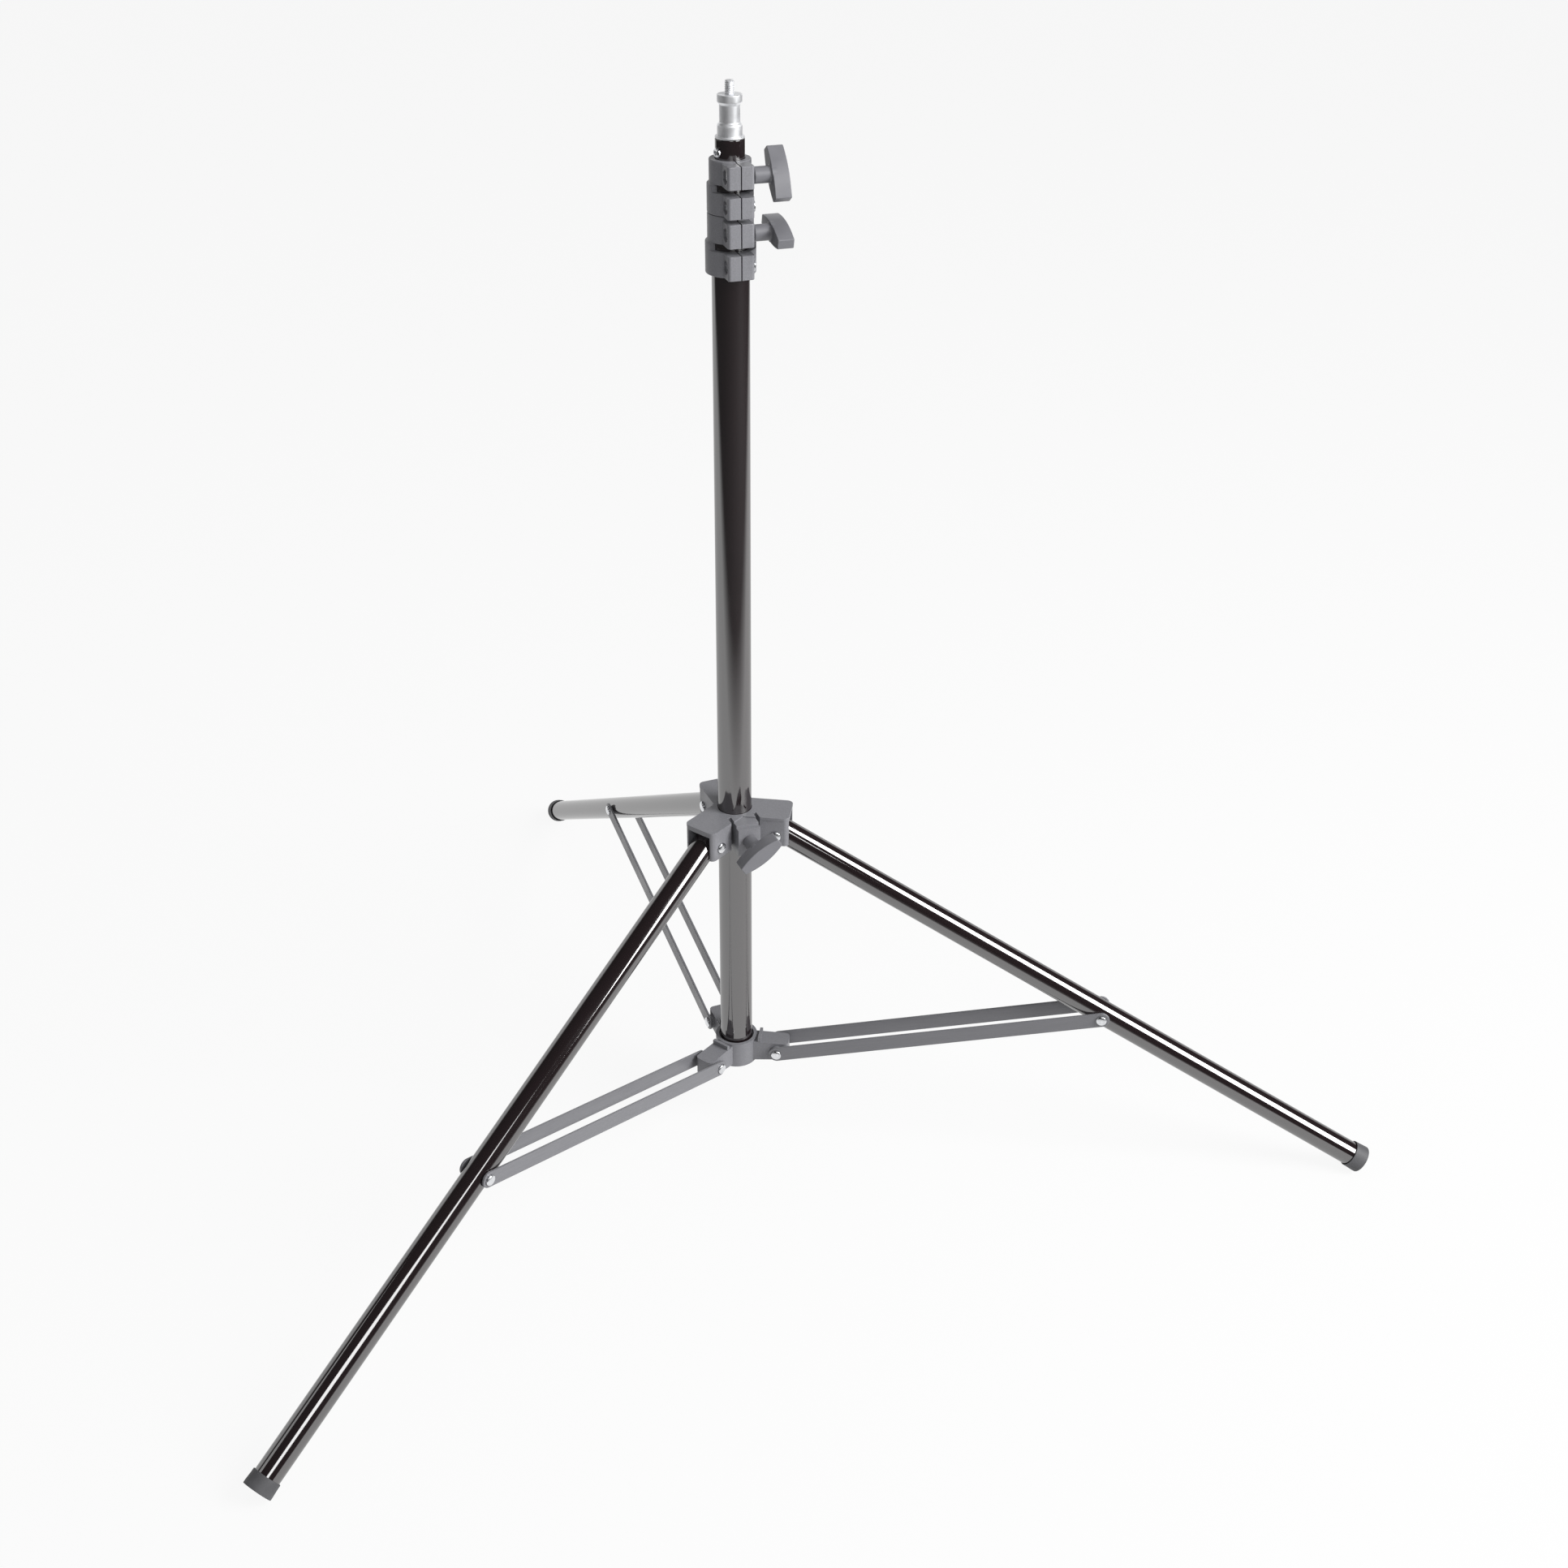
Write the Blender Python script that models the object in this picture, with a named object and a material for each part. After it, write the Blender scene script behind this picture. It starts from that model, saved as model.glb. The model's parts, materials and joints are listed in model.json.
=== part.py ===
# A three-section lighting stand, closed and set up on its three braced legs.
#
# The base tube stands in the lower collar. The middle tube slides in the base tube and the top
# tube slides in the middle tube, and a split clamp with a T-knob holds each of them. The spigot
# closes the top tube. The leg collar slides on the base tube under its own T-knob. Each leg hinges
# in a box of that collar, and a pair of flat braces ties it to an arm of the lower collar.

import bpy
import bmesh
from math import acos, atan2, cos, hypot, pi, radians, sin, sqrt, tan, tau
from mathutils import Matrix, Vector

MM = 0.001

# Gaps between pieces
SLIP = 0.3 * MM               # between pieces that touch or run on each other
TUBE_GAP = 0.5 * MM           # radial gap between one tube and the next
LEG_SIDE_PLAY = 0.5 * MM      # each side of a leg in its hinge box
SWING_GAP = 0.5 * MM          # around the end of a leg as it swings
OVERRUN = 1.0 * MM            # how far a cutter passes the face that it cuts
WELD = 0.0001 * MM            # points closer than this are one point

# Column
BASE_TUBE_DIAMETER = 25.0 * MM
TUBE_WALL = 1.0 * MM
BASE_TUBE_LENGTH = 654.0 * MM
COLLAR_UNDERSIDE_HEIGHT = 60.0 * MM
PLUG_FLANGE = 2.5 * MM
PLUG_SHANK = 9.0 * MM
BUSH_FLANGE = 4.0 * MM
BUSH_SHANK = 12.0 * MM
BUSH_BORE_DIAMETER = 6.0 * MM
BUSH_STANDOFF = 3.0 * MM      # between the stacked ends of the tubes when closed
TOP_TUBE_SHOWING = 12.0 * MM  # above the upper clamp when closed

# Split clamps
CLAMP_WALL = 3.7 * MM
LOWER_SEAT_HEIGHT = 20.8 * MM
LOWER_GRIP_HEIGHT = 17.7 * MM
UPPER_SEAT_HEIGHT = 18.5 * MM
UPPER_GRIP_HEIGHT = 15.0 * MM
CLAMP_BEARING = radians(-94.1)
EAR_PAST_SCREW = 6.1 * MM
EAR_WIDTH = 17.8 * MM
EAR_EDGE_RADIUS = 2.0 * MM
EAR_END_INSET = 0.4 * MM      # from each end of the casting
LOWER_EAR_TOP_INSET = 2.3 * MM    # from the lower clamp's top end, under the upper clamp
EAR_SPLIT = 0.8 * MM
JAW_SLOT = 5.0 * MM
JAW_SLOT_PAST_TUBE = 0.7 * MM     # above the end of the clamp's own tube
JAW_SLOT_BACK = 5.0 * MM      # where the slot between the jaws ends, ahead of the column's axis

# Screws, nuts and rivets
SCREW_DIAMETER = 5.0 * MM
NUT_ACROSS_FLATS = 8.0 * MM
NUT_THICKNESS = 4.0 * MM
NUT_RECESS = 1.2 * MM
BOLT_HEAD_DIAMETER = 7.8 * MM
BOLT_HEAD_HEIGHT = 3.3 * MM
BOLT_HEAD_RECESS = 2.5 * MM
BOLT_SOCKET = 4.0 * MM        # across the flats of its hexagon socket
BOLT_SOCKET_DEPTH = 2.0 * MM
PIN_DIAMETER = 5.0 * MM
RIVET_HEAD_DIAMETER = 8.0 * MM
RIVET_HEAD_HEIGHT = 1.8 * MM

# T-knobs
KNOB_SHANK_DIAMETER = 10.6 * MM
KNOB_SHANK_LENGTH = 11.5 * MM
COLLAR_KNOB_SHANK_LENGTH = 13.5 * MM
KNOB_BAR_LENGTH = 34.5 * MM
KNOB_BAR_WIDTH = 12.4 * MM
KNOB_BAR_END_WIDTH = 6.1 * MM
KNOB_BAR_DEPTH = 11.0 * MM
STUD_IN_KNOB = 12.0 * MM
UPPER_KNOB_TURN = radians(34.0)   # each bar's turn from upright
LOWER_KNOB_TURN = radians(76.0)
COLLAR_KNOB_TURN = radians(-57.0)

# Spigot
SPIGOT_SHANK_LENGTH = 24.0 * MM
SPIGOT_FLANGE_HEIGHT = 1.2 * MM
SPIGOT_DIAMETER = 15.9 * MM
SPIGOT_BARREL_HEIGHT = 8.2 * MM
SPIGOT_WAIST_DIAMETER = 13.2 * MM
SPIGOT_WAIST_HEIGHT = 11.0 * MM
SPIGOT_NECK_TAPER = 1.4 * MM
SPIGOT_HEAD_HEIGHT = 6.0 * MM
SPIGOT_POST_DIAMETER = 6.3 * MM
SPIGOT_POST_LENGTH = 8.4 * MM
SPIGOT_CHAMFER = 0.7 * MM
SPIGOT_SCREW_DROP = 8.0 * MM      # below the top end of the top tube
SPIGOT_SCREW_DIAMETER = 3.0 * MM
SPIGOT_SCREW_LENGTH = 5.0 * MM
SPIGOT_SCREW_HEAD_DIAMETER = 6.4 * MM
SPIGOT_SCREW_HEAD_HEIGHT = 1.6 * MM
SPIGOT_SCREW_BEARING = radians(-168.0)

# Legs
LEG_BEARINGS = {"a": radians(-150.0), "b": radians(-30.0), "c": radians(90.0)}
LEG_DIAMETER = 19.0 * MM
LEG_LENGTH = 537.6 * MM           # from the hinge to the sole of the foot cap
LEG_OPEN_ANGLE = radians(60.1)    # from the column, set up
LEG_HINGE_RADIUS = 32.6 * MM
LEG_TAIL = 5.5 * MM               # past the hinge
FOOT_CAP_DIAMETER = 21.6 * MM
FOOT_CAP_WALL = 0.7 * MM
FOOT_CAP_LENGTH = 11.0 * MM
FOOT_CAP_SOLE = 3.0 * MM

# Leg collar
COLLAR_RING_WALL = 4.2 * MM
HINGE_BOX_WALL = 3.3 * MM
HINGE_BOX_ROOF = 4.2 * MM
HINGE_BOX_REACH_PAST_HINGE = 10.0 * MM
HINGE_BOX_BELOW_HINGE = 8.3 * MM
HINGE_BOX_CORNER = 4.0 * MM
LUG_REACH = 30.0 * MM
LUG_WIDTH = 17.4 * MM
LUG_STEP_REACH = 26.0 * MM
LUG_STEP_DROP = 1.2 * MM
LUG_FACE_DROP = 3.2 * MM
LUG_BELOW_SCREW = 11.5 * MM
LUG_NOTCH_WIDTH = 2.6 * MM        # between each side of the lug and the hinge box beside it
LUG_NOTCH_RADIUS = 15.0 * MM
COLLAR_SCREW_ABOVE_HINGE = 2.2 * MM
BRAKE_PAD_DIAMETER = 8.0 * MM
BRAKE_PAD_THICKNESS = 3.0 * MM

# Lower collar
LOWER_COLLAR_HEIGHT = 21.7 * MM
LOWER_RING_WALL = 3.6 * MM
RIM_RECESS = 1.0 * MM             # around the tube in the collar's top end
RIM_RECESS_DEPTH = 3.0 * MM
ARM_REACH = 42.3 * MM
ARM_WIDTH = 15.4 * MM
ARM_CORNER = 3.5 * MM
ARM_TOP_DROP = 2.2 * MM           # below the ring's top
ARM_ROOT_RISE = 0.4 * MM          # of its underside, at the column's axis
ARM_END_RISE = 4.5 * MM
ARM_BOSS_DIAMETER = 11.0 * MM
ARM_RIB_RADIUS = 18.2 * MM
ARM_RIB_THICKNESS = 2.4 * MM
ARM_RIB_HEIGHT = 3.6 * MM
ARM_RIB_INSET = 0.4 * MM
LOWER_HINGE_RADIUS = 33.7 * MM
LOWER_HINGE_HEIGHT = 71.8 * MM

# Braces
BRACE_JOINT_ON_LEG = 291.4 * MM   # from the leg's hinge, along the leg
BRACE_WIDTH = 12.4 * MM
BRACE_THICKNESS = 1.8 * MM

# Facets
TUBE_STEPS = 32
LEG_STEPS = 24
HOLE_STEPS = 16
CORNER_STEPS = 4
BAR_STEPS = 8

# Radii that follow from the diameters
BASE_RADIUS = BASE_TUBE_DIAMETER / 2
BASE_INNER = BASE_RADIUS - TUBE_WALL
MIDDLE_RADIUS = BASE_INNER - TUBE_GAP
MIDDLE_INNER = MIDDLE_RADIUS - TUBE_WALL
TOP_RADIUS = MIDDLE_INNER - TUBE_GAP
TOP_INNER = TOP_RADIUS - TUBE_WALL
LEG_RADIUS = LEG_DIAMETER / 2
PIN_RADIUS = PIN_DIAMETER / 2
SCREW_RADIUS = SCREW_DIAMETER / 2
COLLAR_BORE = BASE_RADIUS + SLIP
COLLAR_RING = COLLAR_BORE + COLLAR_RING_WALL
LOWER_RING = COLLAR_BORE + LOWER_RING_WALL

# The flats of the clamps' nuts pass the largest ring beside the ears
LARGEST_RING = BASE_RADIUS + SLIP + CLAMP_WALL
RING_BESIDE_EAR = sqrt(LARGEST_RING ** 2 - (EAR_WIDTH / 2) ** 2)
SCREW_REACH = RING_BESIDE_EAR + SLIP + NUT_ACROSS_FLATS / 2
EAR_REACH = SCREW_REACH + EAR_PAST_SCREW

# Heights of the column's pieces, from the bottom up
BASE_TUBE_BOTTOM = COLLAR_UNDERSIDE_HEIGHT + PLUG_FLANGE + SLIP
BASE_TUBE_TOP = BASE_TUBE_BOTTOM + BASE_TUBE_LENGTH
PLUG_TOP = COLLAR_UNDERSIDE_HEIGHT + PLUG_FLANGE + PLUG_SHANK
LOWER_CLAMP_BOTTOM = BASE_TUBE_TOP + SLIP - LOWER_SEAT_HEIGHT
LOWER_CLAMP_TOP = LOWER_CLAMP_BOTTOM + LOWER_SEAT_HEIGHT + LOWER_GRIP_HEIGHT
UPPER_CLAMP_BOTTOM = LOWER_CLAMP_TOP + SLIP
UPPER_CLAMP_TOP = UPPER_CLAMP_BOTTOM + UPPER_SEAT_HEIGHT + UPPER_GRIP_HEIGHT
MIDDLE_BUSH_BOTTOM = PLUG_TOP + BUSH_STANDOFF
MIDDLE_TUBE_BOTTOM = MIDDLE_BUSH_BOTTOM + BUSH_FLANGE + SLIP
MIDDLE_TUBE_TOP = UPPER_CLAMP_BOTTOM + UPPER_SEAT_HEIGHT - SLIP
TOP_BUSH_BOTTOM = MIDDLE_BUSH_BOTTOM + BUSH_FLANGE + BUSH_SHANK + BUSH_STANDOFF
TOP_TUBE_BOTTOM = TOP_BUSH_BOTTOM + BUSH_FLANGE + SLIP
TOP_TUBE_TOP = UPPER_CLAMP_TOP + TOP_TUBE_SHOWING

# The leg's hinge stands where the rim of the foot cap rests on the floor
FOOT_CAP_RADIUS = FOOT_CAP_DIAMETER / 2
LEG_HINGE_HEIGHT = LEG_LENGTH * cos(LEG_OPEN_ANGLE) + FOOT_CAP_RADIUS * sin(LEG_OPEN_ANGLE)
FOOT_RADIUS = LEG_HINGE_RADIUS + LEG_LENGTH * sin(LEG_OPEN_ANGLE)

# Braces run from the lower collar to the joint on the leg
BRACE_SPAN_OUT = LEG_HINGE_RADIUS + BRACE_JOINT_ON_LEG * sin(LEG_OPEN_ANGLE) - LOWER_HINGE_RADIUS
BRACE_SPAN_UP = LEG_HINGE_HEIGHT - BRACE_JOINT_ON_LEG * cos(LEG_OPEN_ANGLE) - LOWER_HINGE_HEIGHT
BRACE_LENGTH = hypot(BRACE_SPAN_OUT, BRACE_SPAN_UP)
BRACE_OPEN_ANGLE = acos(BRACE_SPAN_UP / BRACE_LENGTH)
BRACE_INNER_FACE = LEG_RADIUS + LEG_SIDE_PLAY
BRACE_OUTER_FACE = BRACE_INNER_FACE + BRACE_THICKNESS

# The swing of the leg's tail sets the inside of the hinge box
TAIL_SWING = hypot(LEG_RADIUS, LEG_TAIL) + SWING_GAP
COLLAR_TOP = LEG_HINGE_HEIGHT + TAIL_SWING + HINGE_BOX_ROOF
COLLAR_BOTTOM = LEG_HINGE_HEIGHT - HINGE_BOX_BELOW_HINGE
BOX_INNER_WIDTH = BRACE_INNER_FACE
BOX_HALF_WIDTH = BOX_INNER_WIDTH + HINGE_BOX_WALL
BOX_REACH = LEG_HINGE_RADIUS + HINGE_BOX_REACH_PAST_HINGE
COLLAR_SCREW_HEIGHT = LEG_HINGE_HEIGHT + COLLAR_SCREW_ABOVE_HINGE
LUG_BEARING = (LEG_BEARINGS["a"] + LEG_BEARINGS["b"]) / 2


def foot_reach(bearing, direction):
    """How far a foot cap reaches from the column's axis in a level direction."""
    out = Vector((cos(bearing), sin(bearing), 0.0))
    along_leg = out * sin(LEG_OPEN_ANGLE) - Vector((0.0, 0.0, cos(LEG_OPEN_ANGLE)))
    level = Vector((cos(direction), sin(direction), 0.0))
    rim = FOOT_CAP_RADIUS * sqrt(1.0 - along_leg.dot(level) ** 2)
    return FOOT_RADIUS * out.dot(level) + rim


# The origin lies on the floor under the middle of the stand's bounding box
REACH_BACK = foot_reach(LEG_BEARINGS["c"], radians(90.0))
REACH_FRONT = foot_reach(LEG_BEARINGS["a"], radians(-90.0))
COLUMN_Y = (REACH_FRONT - REACH_BACK) / 2


# Finishes

FINISHES = {
    "gloss_black": ((0.012, 0.011, 0.012), 0.12, 0.0),
    "satin_grey": ((0.085, 0.085, 0.092), 0.42, 0.0),
    "brace_grey": ((0.10, 0.10, 0.11), 0.38, 0.3),
    "nickel": ((0.72, 0.72, 0.74), 0.22, 1.0),
    "zinc": ((0.62, 0.63, 0.65), 0.30, 1.0),
    "brass": ((0.62, 0.45, 0.18), 0.35, 1.0),
    "rubber": ((0.06, 0.06, 0.065), 0.65, 0.0),
    "nylon": ((0.03, 0.03, 0.03), 0.5, 0.0),
}


def finish(name):
    """The material of a finish, made the first time it is asked for."""
    made = bpy.data.materials.get(name)
    if made:
        return made
    colour, roughness, metallic = FINISHES[name]
    made = bpy.data.materials.new(name)
    made.use_nodes = True
    shader = made.node_tree.nodes["Principled BSDF"]
    shader.inputs["Base Color"].default_value = (*colour, 1.0)
    shader.inputs["Roughness"].default_value = roughness
    shader.inputs["Metallic"].default_value = metallic
    made.diffuse_color = (*colour, 1.0)
    return made


# Objects

def link(obj, parent):
    """Put an object in the scene under its parent."""
    bpy.context.scene.collection.objects.link(obj)
    obj.parent = parent
    return obj


def frame(name, parent, bearing=0.0, radius=0.0, height=0.0, y=0.0):
    """An empty with +X pointing outward at a bearing about the column and +Z up."""
    empty = link(bpy.data.objects.new(name, None), parent)
    empty.empty_display_size = 20 * MM
    empty.location = (radius * cos(bearing), radius * sin(bearing) + y, height)
    empty.rotation_euler = (0.0, 0.0, bearing)
    return empty


def piece(name, bm, finish_name, parent, turn=0.0):
    """A sub-part: its closed mesh, its finish, and its turn about the parent's Y axis."""
    mesh = bpy.data.meshes.new(name)
    bm.to_mesh(mesh)
    bm.free()
    mesh.materials.append(finish(finish_name))
    mesh.shade_smooth()
    mesh.set_sharp_from_angle(angle=radians(32.0))
    obj = link(bpy.data.objects.new(name, mesh), parent)
    obj.rotation_euler = (0.0, turn, 0.0)
    return obj


def shape(target, operation, name, bm):
    """Join a solid to a sub-part, or cut it out, and leave it as a wire guide."""
    mesh = bpy.data.meshes.new(name)
    bm.to_mesh(mesh)
    bm.free()
    tool = link(bpy.data.objects.new(name, mesh), target.parent)
    tool.rotation_euler = target.rotation_euler
    tool.hide_render = True
    tool.display_type = "WIRE"
    modifier = target.modifiers.new(name, "BOOLEAN")
    modifier.operation = operation
    modifier.solver = "EXACT"
    modifier.object = tool


def add(target, name, bm):
    shape(target, "UNION", target.name + "_with_" + name, bm)


def cut(target, name, bm):
    shape(target, "DIFFERENCE", target.name + "_less_" + name, bm)


# Solids

def facing_out(bm):
    """Make every face of a closed solid point outward."""
    bmesh.ops.recalc_face_normals(bm, faces=bm.faces)
    if bm.calc_volume(signed=True) < 0.0:
        bmesh.ops.reverse_faces(bm, faces=bm.faces)
    return bm


def turned(profile, steps):
    """Turn an outline of (radius, height) points about Z. Ends at radius 0 close on the axis."""
    bm = bmesh.new()
    verts = [bm.verts.new((radius, 0.0, height)) for radius, height in profile]
    edges = [bm.edges.new(pair) for pair in zip(verts, verts[1:])]
    if profile[0][0] > 0.0:
        edges.append(bm.edges.new((verts[-1], verts[0])))
    bmesh.ops.spin(
        bm, geom=verts + edges, axis=(0, 0, 1), cent=(0, 0, 0), angle=tau, steps=steps, use_merge=True
    )
    bmesh.ops.remove_doubles(bm, verts=bm.verts, dist=WELD)
    return facing_out(bm)


def rod(radius, low, high, steps=HOLE_STEPS):
    """A solid round bar along Z."""
    return turned([(0.0, low), (radius, low), (radius, high), (0.0, high)], steps)


def tube(outer, inner, low, high, steps):
    """A round tube along Z."""
    return turned([(outer, low), (outer, high), (inner, high), (inner, low)], steps)


def prism(outline, low, high):
    """Extrude a closed outline of (x, y) points from one height to another."""
    bm = bmesh.new()
    face = bm.faces.new([bm.verts.new((x, y, low)) for x, y in outline])
    raised = bmesh.ops.extrude_face_region(bm, geom=[face])["geom"]
    verts = [item for item in raised if isinstance(item, bmesh.types.BMVert)]
    bmesh.ops.translate(bm, vec=(0.0, 0.0, high - low), verts=verts)
    return facing_out(bm)


def box(low, high):
    """A box between two opposite corners."""
    (x0, y0, z0), (x1, y1, z1) = low, high
    return prism([(x0, y0), (x1, y0), (x1, y1), (x0, y1)], z0, z1)


def arc(centre, radius, start, end, steps):
    """Points along an arc of a circle."""
    angles = [start + (end - start) * i / steps for i in range(steps + 1)]
    return [(centre[0] + radius * cos(a), centre[1] + radius * sin(a)) for a in angles]


def tongue(back, front, half_width, corner):
    """A level strip along X whose two front corners are rounded."""
    far = front - corner
    wide = half_width - corner
    outline = [(back, half_width), (back, -half_width)]
    outline += arc((far, -wide), corner, -pi / 2, 0.0, CORNER_STEPS)
    outline += arc((far, wide), corner, 0.0, pi / 2, CORNER_STEPS)
    return outline


def three_arms(ring, reach, half_width, corner):
    """A ring with a round-cornered arm toward each leg."""
    spread = pi / len(LEG_BEARINGS)
    root = max(sqrt(max(ring ** 2 - half_width ** 2, 0.0)), half_width / tan(spread))
    start = atan2(half_width, root)
    outline = []
    for bearing in sorted(LEG_BEARINGS.values()):
        arm = [(root, -half_width)] + tongue(0.0, reach, half_width, corner)[2:] + [(root, half_width)]
        outline += [(x * cos(bearing) - y * sin(bearing), x * sin(bearing) + y * cos(bearing))
                    for x, y in arm]
        if start < spread:
            outline += arc((0.0, 0.0), ring, bearing + start, bearing + 2 * spread - start,
                           CORNER_STEPS)[1:-1]
    return outline


def hexagon(across_flats):
    """A hexagon about the origin, with flats that face +X and -X."""
    corner = across_flats / 2 / cos(pi / 6)
    angles = [(i + 0.5) * pi / 3 for i in range(6)]
    return [(corner * cos(a), corner * sin(a)) for a in angles]


def sliced_below(bm, low, rise, reach):
    """Cut the underside of a solid off along a slope that rises toward +X, and close it."""
    whole = bm.verts[:] + bm.edges[:] + bm.faces[:]
    slope = Vector((-rise, 0.0, reach)).normalized()
    rim = bmesh.ops.bisect_plane(bm, geom=whole, dist=WELD, plane_co=(0.0, 0.0, low), plane_no=slope,
                                 clear_inner=True)["geom_cut"]
    loop = [item for item in rim if isinstance(item, bmesh.types.BMEdge)]
    bmesh.ops.edgeloop_fill(bm, edges=loop)
    return facing_out(bm)


def moved(bm, *steps):
    """Apply transforms to a solid, first to last."""
    for step in steps:
        bm.transform(step)
    return bm


def shift(x=0.0, y=0.0, z=0.0):
    return Matrix.Translation((x, y, z))


def lay_along_y():
    """Turns a solid's Z axis to +Y."""
    return Matrix.Rotation(radians(-90.0), 4, "X")


def lay_along_x():
    """Turns a solid's Z axis to +X."""
    return Matrix.Rotation(radians(90.0), 4, "Y")


def about_column(bearing):
    return Matrix.Rotation(bearing, 4, "Z")


def across(outline, half):
    """A solid with a side outline of (x, z) points, as wide each way along Y."""
    return moved(prism(outline, -half, half), Matrix.Rotation(radians(90.0), 4, "X"))


# Fasteners

def head_profile(base, height, radius, shank):
    """A domed rivet head on top of a shank, from the shank outward."""
    dome = [(radius, base), (radius, base + height * 0.35), (radius * 0.8, base + height * 0.75)]
    return [(shank, base)] + dome + [(radius * 0.4, base + height), (0.0, base + height)]


def rivet(name, half_grip, parent, height=0.0):
    """A pin across Y with a domed head outside each face of its grip."""
    base = half_grip + SLIP
    top = head_profile(base, RIVET_HEAD_HEIGHT, RIVET_HEAD_DIAMETER / 2, PIN_RADIUS)
    profile = [(radius, -z) for radius, z in reversed(top)] + top
    bm = moved(turned(profile, HOLE_STEPS), lay_along_y(), shift(z=height))
    return piece(name, bm, "zinc", parent)


def pin_hole(half_length, height=0.0, x=0.0):
    """A cutter across Y for a rivet's pin."""
    return moved(rod(PIN_RADIUS + SLIP, -half_length, half_length), lay_along_y(), shift(x, 0.0, height))


def nut(name, parent, x, y, z):
    """A hexagon nut whose outer face looks along -Y."""
    obj = piece(name, moved(prism(hexagon(NUT_ACROSS_FLATS), 0.0, NUT_THICKNESS), lay_along_y(),
                            shift(x, y, z)), "zinc", parent)
    bore = rod(SCREW_RADIUS + SLIP, -OVERRUN, NUT_THICKNESS + OVERRUN)
    cut(obj, "bore", moved(bore, lay_along_y(), shift(x, y, z)))


def knob(name, parent, shank_length, turn):
    """A moulded T-knob on +Z: a round shank, then a crossbar that swells at its middle."""
    half = KNOB_BAR_LENGTH / 2
    swell = (KNOB_BAR_WIDTH - KNOB_BAR_END_WIDTH) / 2
    stations = [half * (2.0 * i / BAR_STEPS - 1.0) for i in range(BAR_STEPS + 1)]
    edge = [(x, -KNOB_BAR_END_WIDTH / 2 - swell * (1.0 - (x / half) ** 2)) for x in stations]
    outline = edge + [(-x, -y) for x, y in edge]
    bar = moved(prism(outline, shank_length, shank_length + KNOB_BAR_DEPTH),
                Matrix.Rotation(turn, 4, "Z"))
    obj = piece(name, bar, "satin_grey", parent)
    shank_top = shank_length + KNOB_BAR_DEPTH / 2
    add(obj, "shank", rod(KNOB_SHANK_DIAMETER / 2, SLIP, shank_top, LEG_STEPS))
    cut(obj, "insert", rod(SCREW_RADIUS + SLIP, -OVERRUN, STUD_IN_KNOB + SLIP))
    return obj


# Clamps

def clamp(name, parent, bottom, seat_radius, grip_radius, seat_height, grip_height, ear_top_inset):
    """A split casting: its lower jaw is bolted on a tube, its upper jaw grips the next one."""
    middle = bottom + seat_height
    top = middle + grip_height
    seat_ring = seat_radius + SLIP + CLAMP_WALL
    grip_ring = grip_radius + SLIP + CLAMP_WALL
    half = EAR_WIDTH / 2

    profile = [(0.0, bottom), (seat_ring, bottom), (seat_ring, middle), (grip_ring, middle),
               (grip_ring, top), (0.0, top)]
    obj = piece(name, turned(profile, TUBE_STEPS), "satin_grey", parent)
    ear_low = bottom + EAR_END_INSET
    ear_high = top - ear_top_inset
    add(obj, "ears", prism(tongue(0.0, EAR_REACH, half, EAR_EDGE_RADIUS), ear_low, ear_high))

    seat_bore = seat_radius + SLIP
    grip_bore = grip_radius + SLIP
    bore = [(0.0, bottom - OVERRUN), (seat_bore, bottom - OVERRUN), (seat_bore, middle),
            (grip_bore, middle), (grip_bore, top + OVERRUN), (0.0, top + OVERRUN)]
    cut(obj, "bore", turned(bore, TUBE_STEPS))
    cut(obj, "split", box((0.0, -EAR_SPLIT / 2, bottom - OVERRUN),
                          (EAR_REACH + OVERRUN, EAR_SPLIT / 2, top + OVERRUN)))
    slot_high = middle - SLIP + JAW_SLOT_PAST_TUBE
    wide = seat_ring + OVERRUN
    cut(obj, "jaw_slot", box((JAW_SLOT_BACK, -wide, slot_high - JAW_SLOT),
                             (EAR_REACH + OVERRUN, wide, slot_high)))

    seat_screw = (ear_low + slot_high - JAW_SLOT) / 2
    grip_screw = (slot_high + ear_high) / 2
    for label, height in (("seat", seat_screw), ("grip", grip_screw)):
        place = (lay_along_y(), shift(SCREW_REACH, 0.0, height))
        pocket = prism(hexagon(NUT_ACROSS_FLATS + 2 * SLIP), -half - OVERRUN,
                       -half + NUT_RECESS + NUT_THICKNESS + SLIP)
        cut(obj, label + "_pocket", moved(pocket, *place))
        hole = rod(SCREW_RADIUS + SLIP, -half, half + OVERRUN)
        cut(obj, label + "_hole", moved(hole, *place))
        nut(name + "_" + label + "_nut", parent, SCREW_REACH, -half + NUT_RECESS, height)

    # The socket bolt of the lower jaw: its head lies in a counterbore and its end in the nut
    place = (lay_along_y(), shift(SCREW_REACH, 0.0, seat_screw))
    head = BOLT_HEAD_DIAMETER / 2
    floor = half - BOLT_HEAD_RECESS
    cut(obj, "counterbore", moved(rod(head + SLIP, floor, half + OVERRUN), *place))
    crown = floor + SLIP + BOLT_HEAD_HEIGHT
    outline = [(0.0, -half + NUT_RECESS), (SCREW_RADIUS, -half + NUT_RECESS),
               (SCREW_RADIUS, floor + SLIP), (head, floor + SLIP), (head, crown), (0.0, crown)]
    bolt = piece(name + "_seat_bolt", moved(turned(outline, HOLE_STEPS), *place), "zinc", parent)
    socket = prism(hexagon(BOLT_SOCKET), crown - BOLT_SOCKET_DEPTH, crown + OVERRUN)
    cut(bolt, "socket", moved(socket, *place))
    return grip_screw


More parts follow.
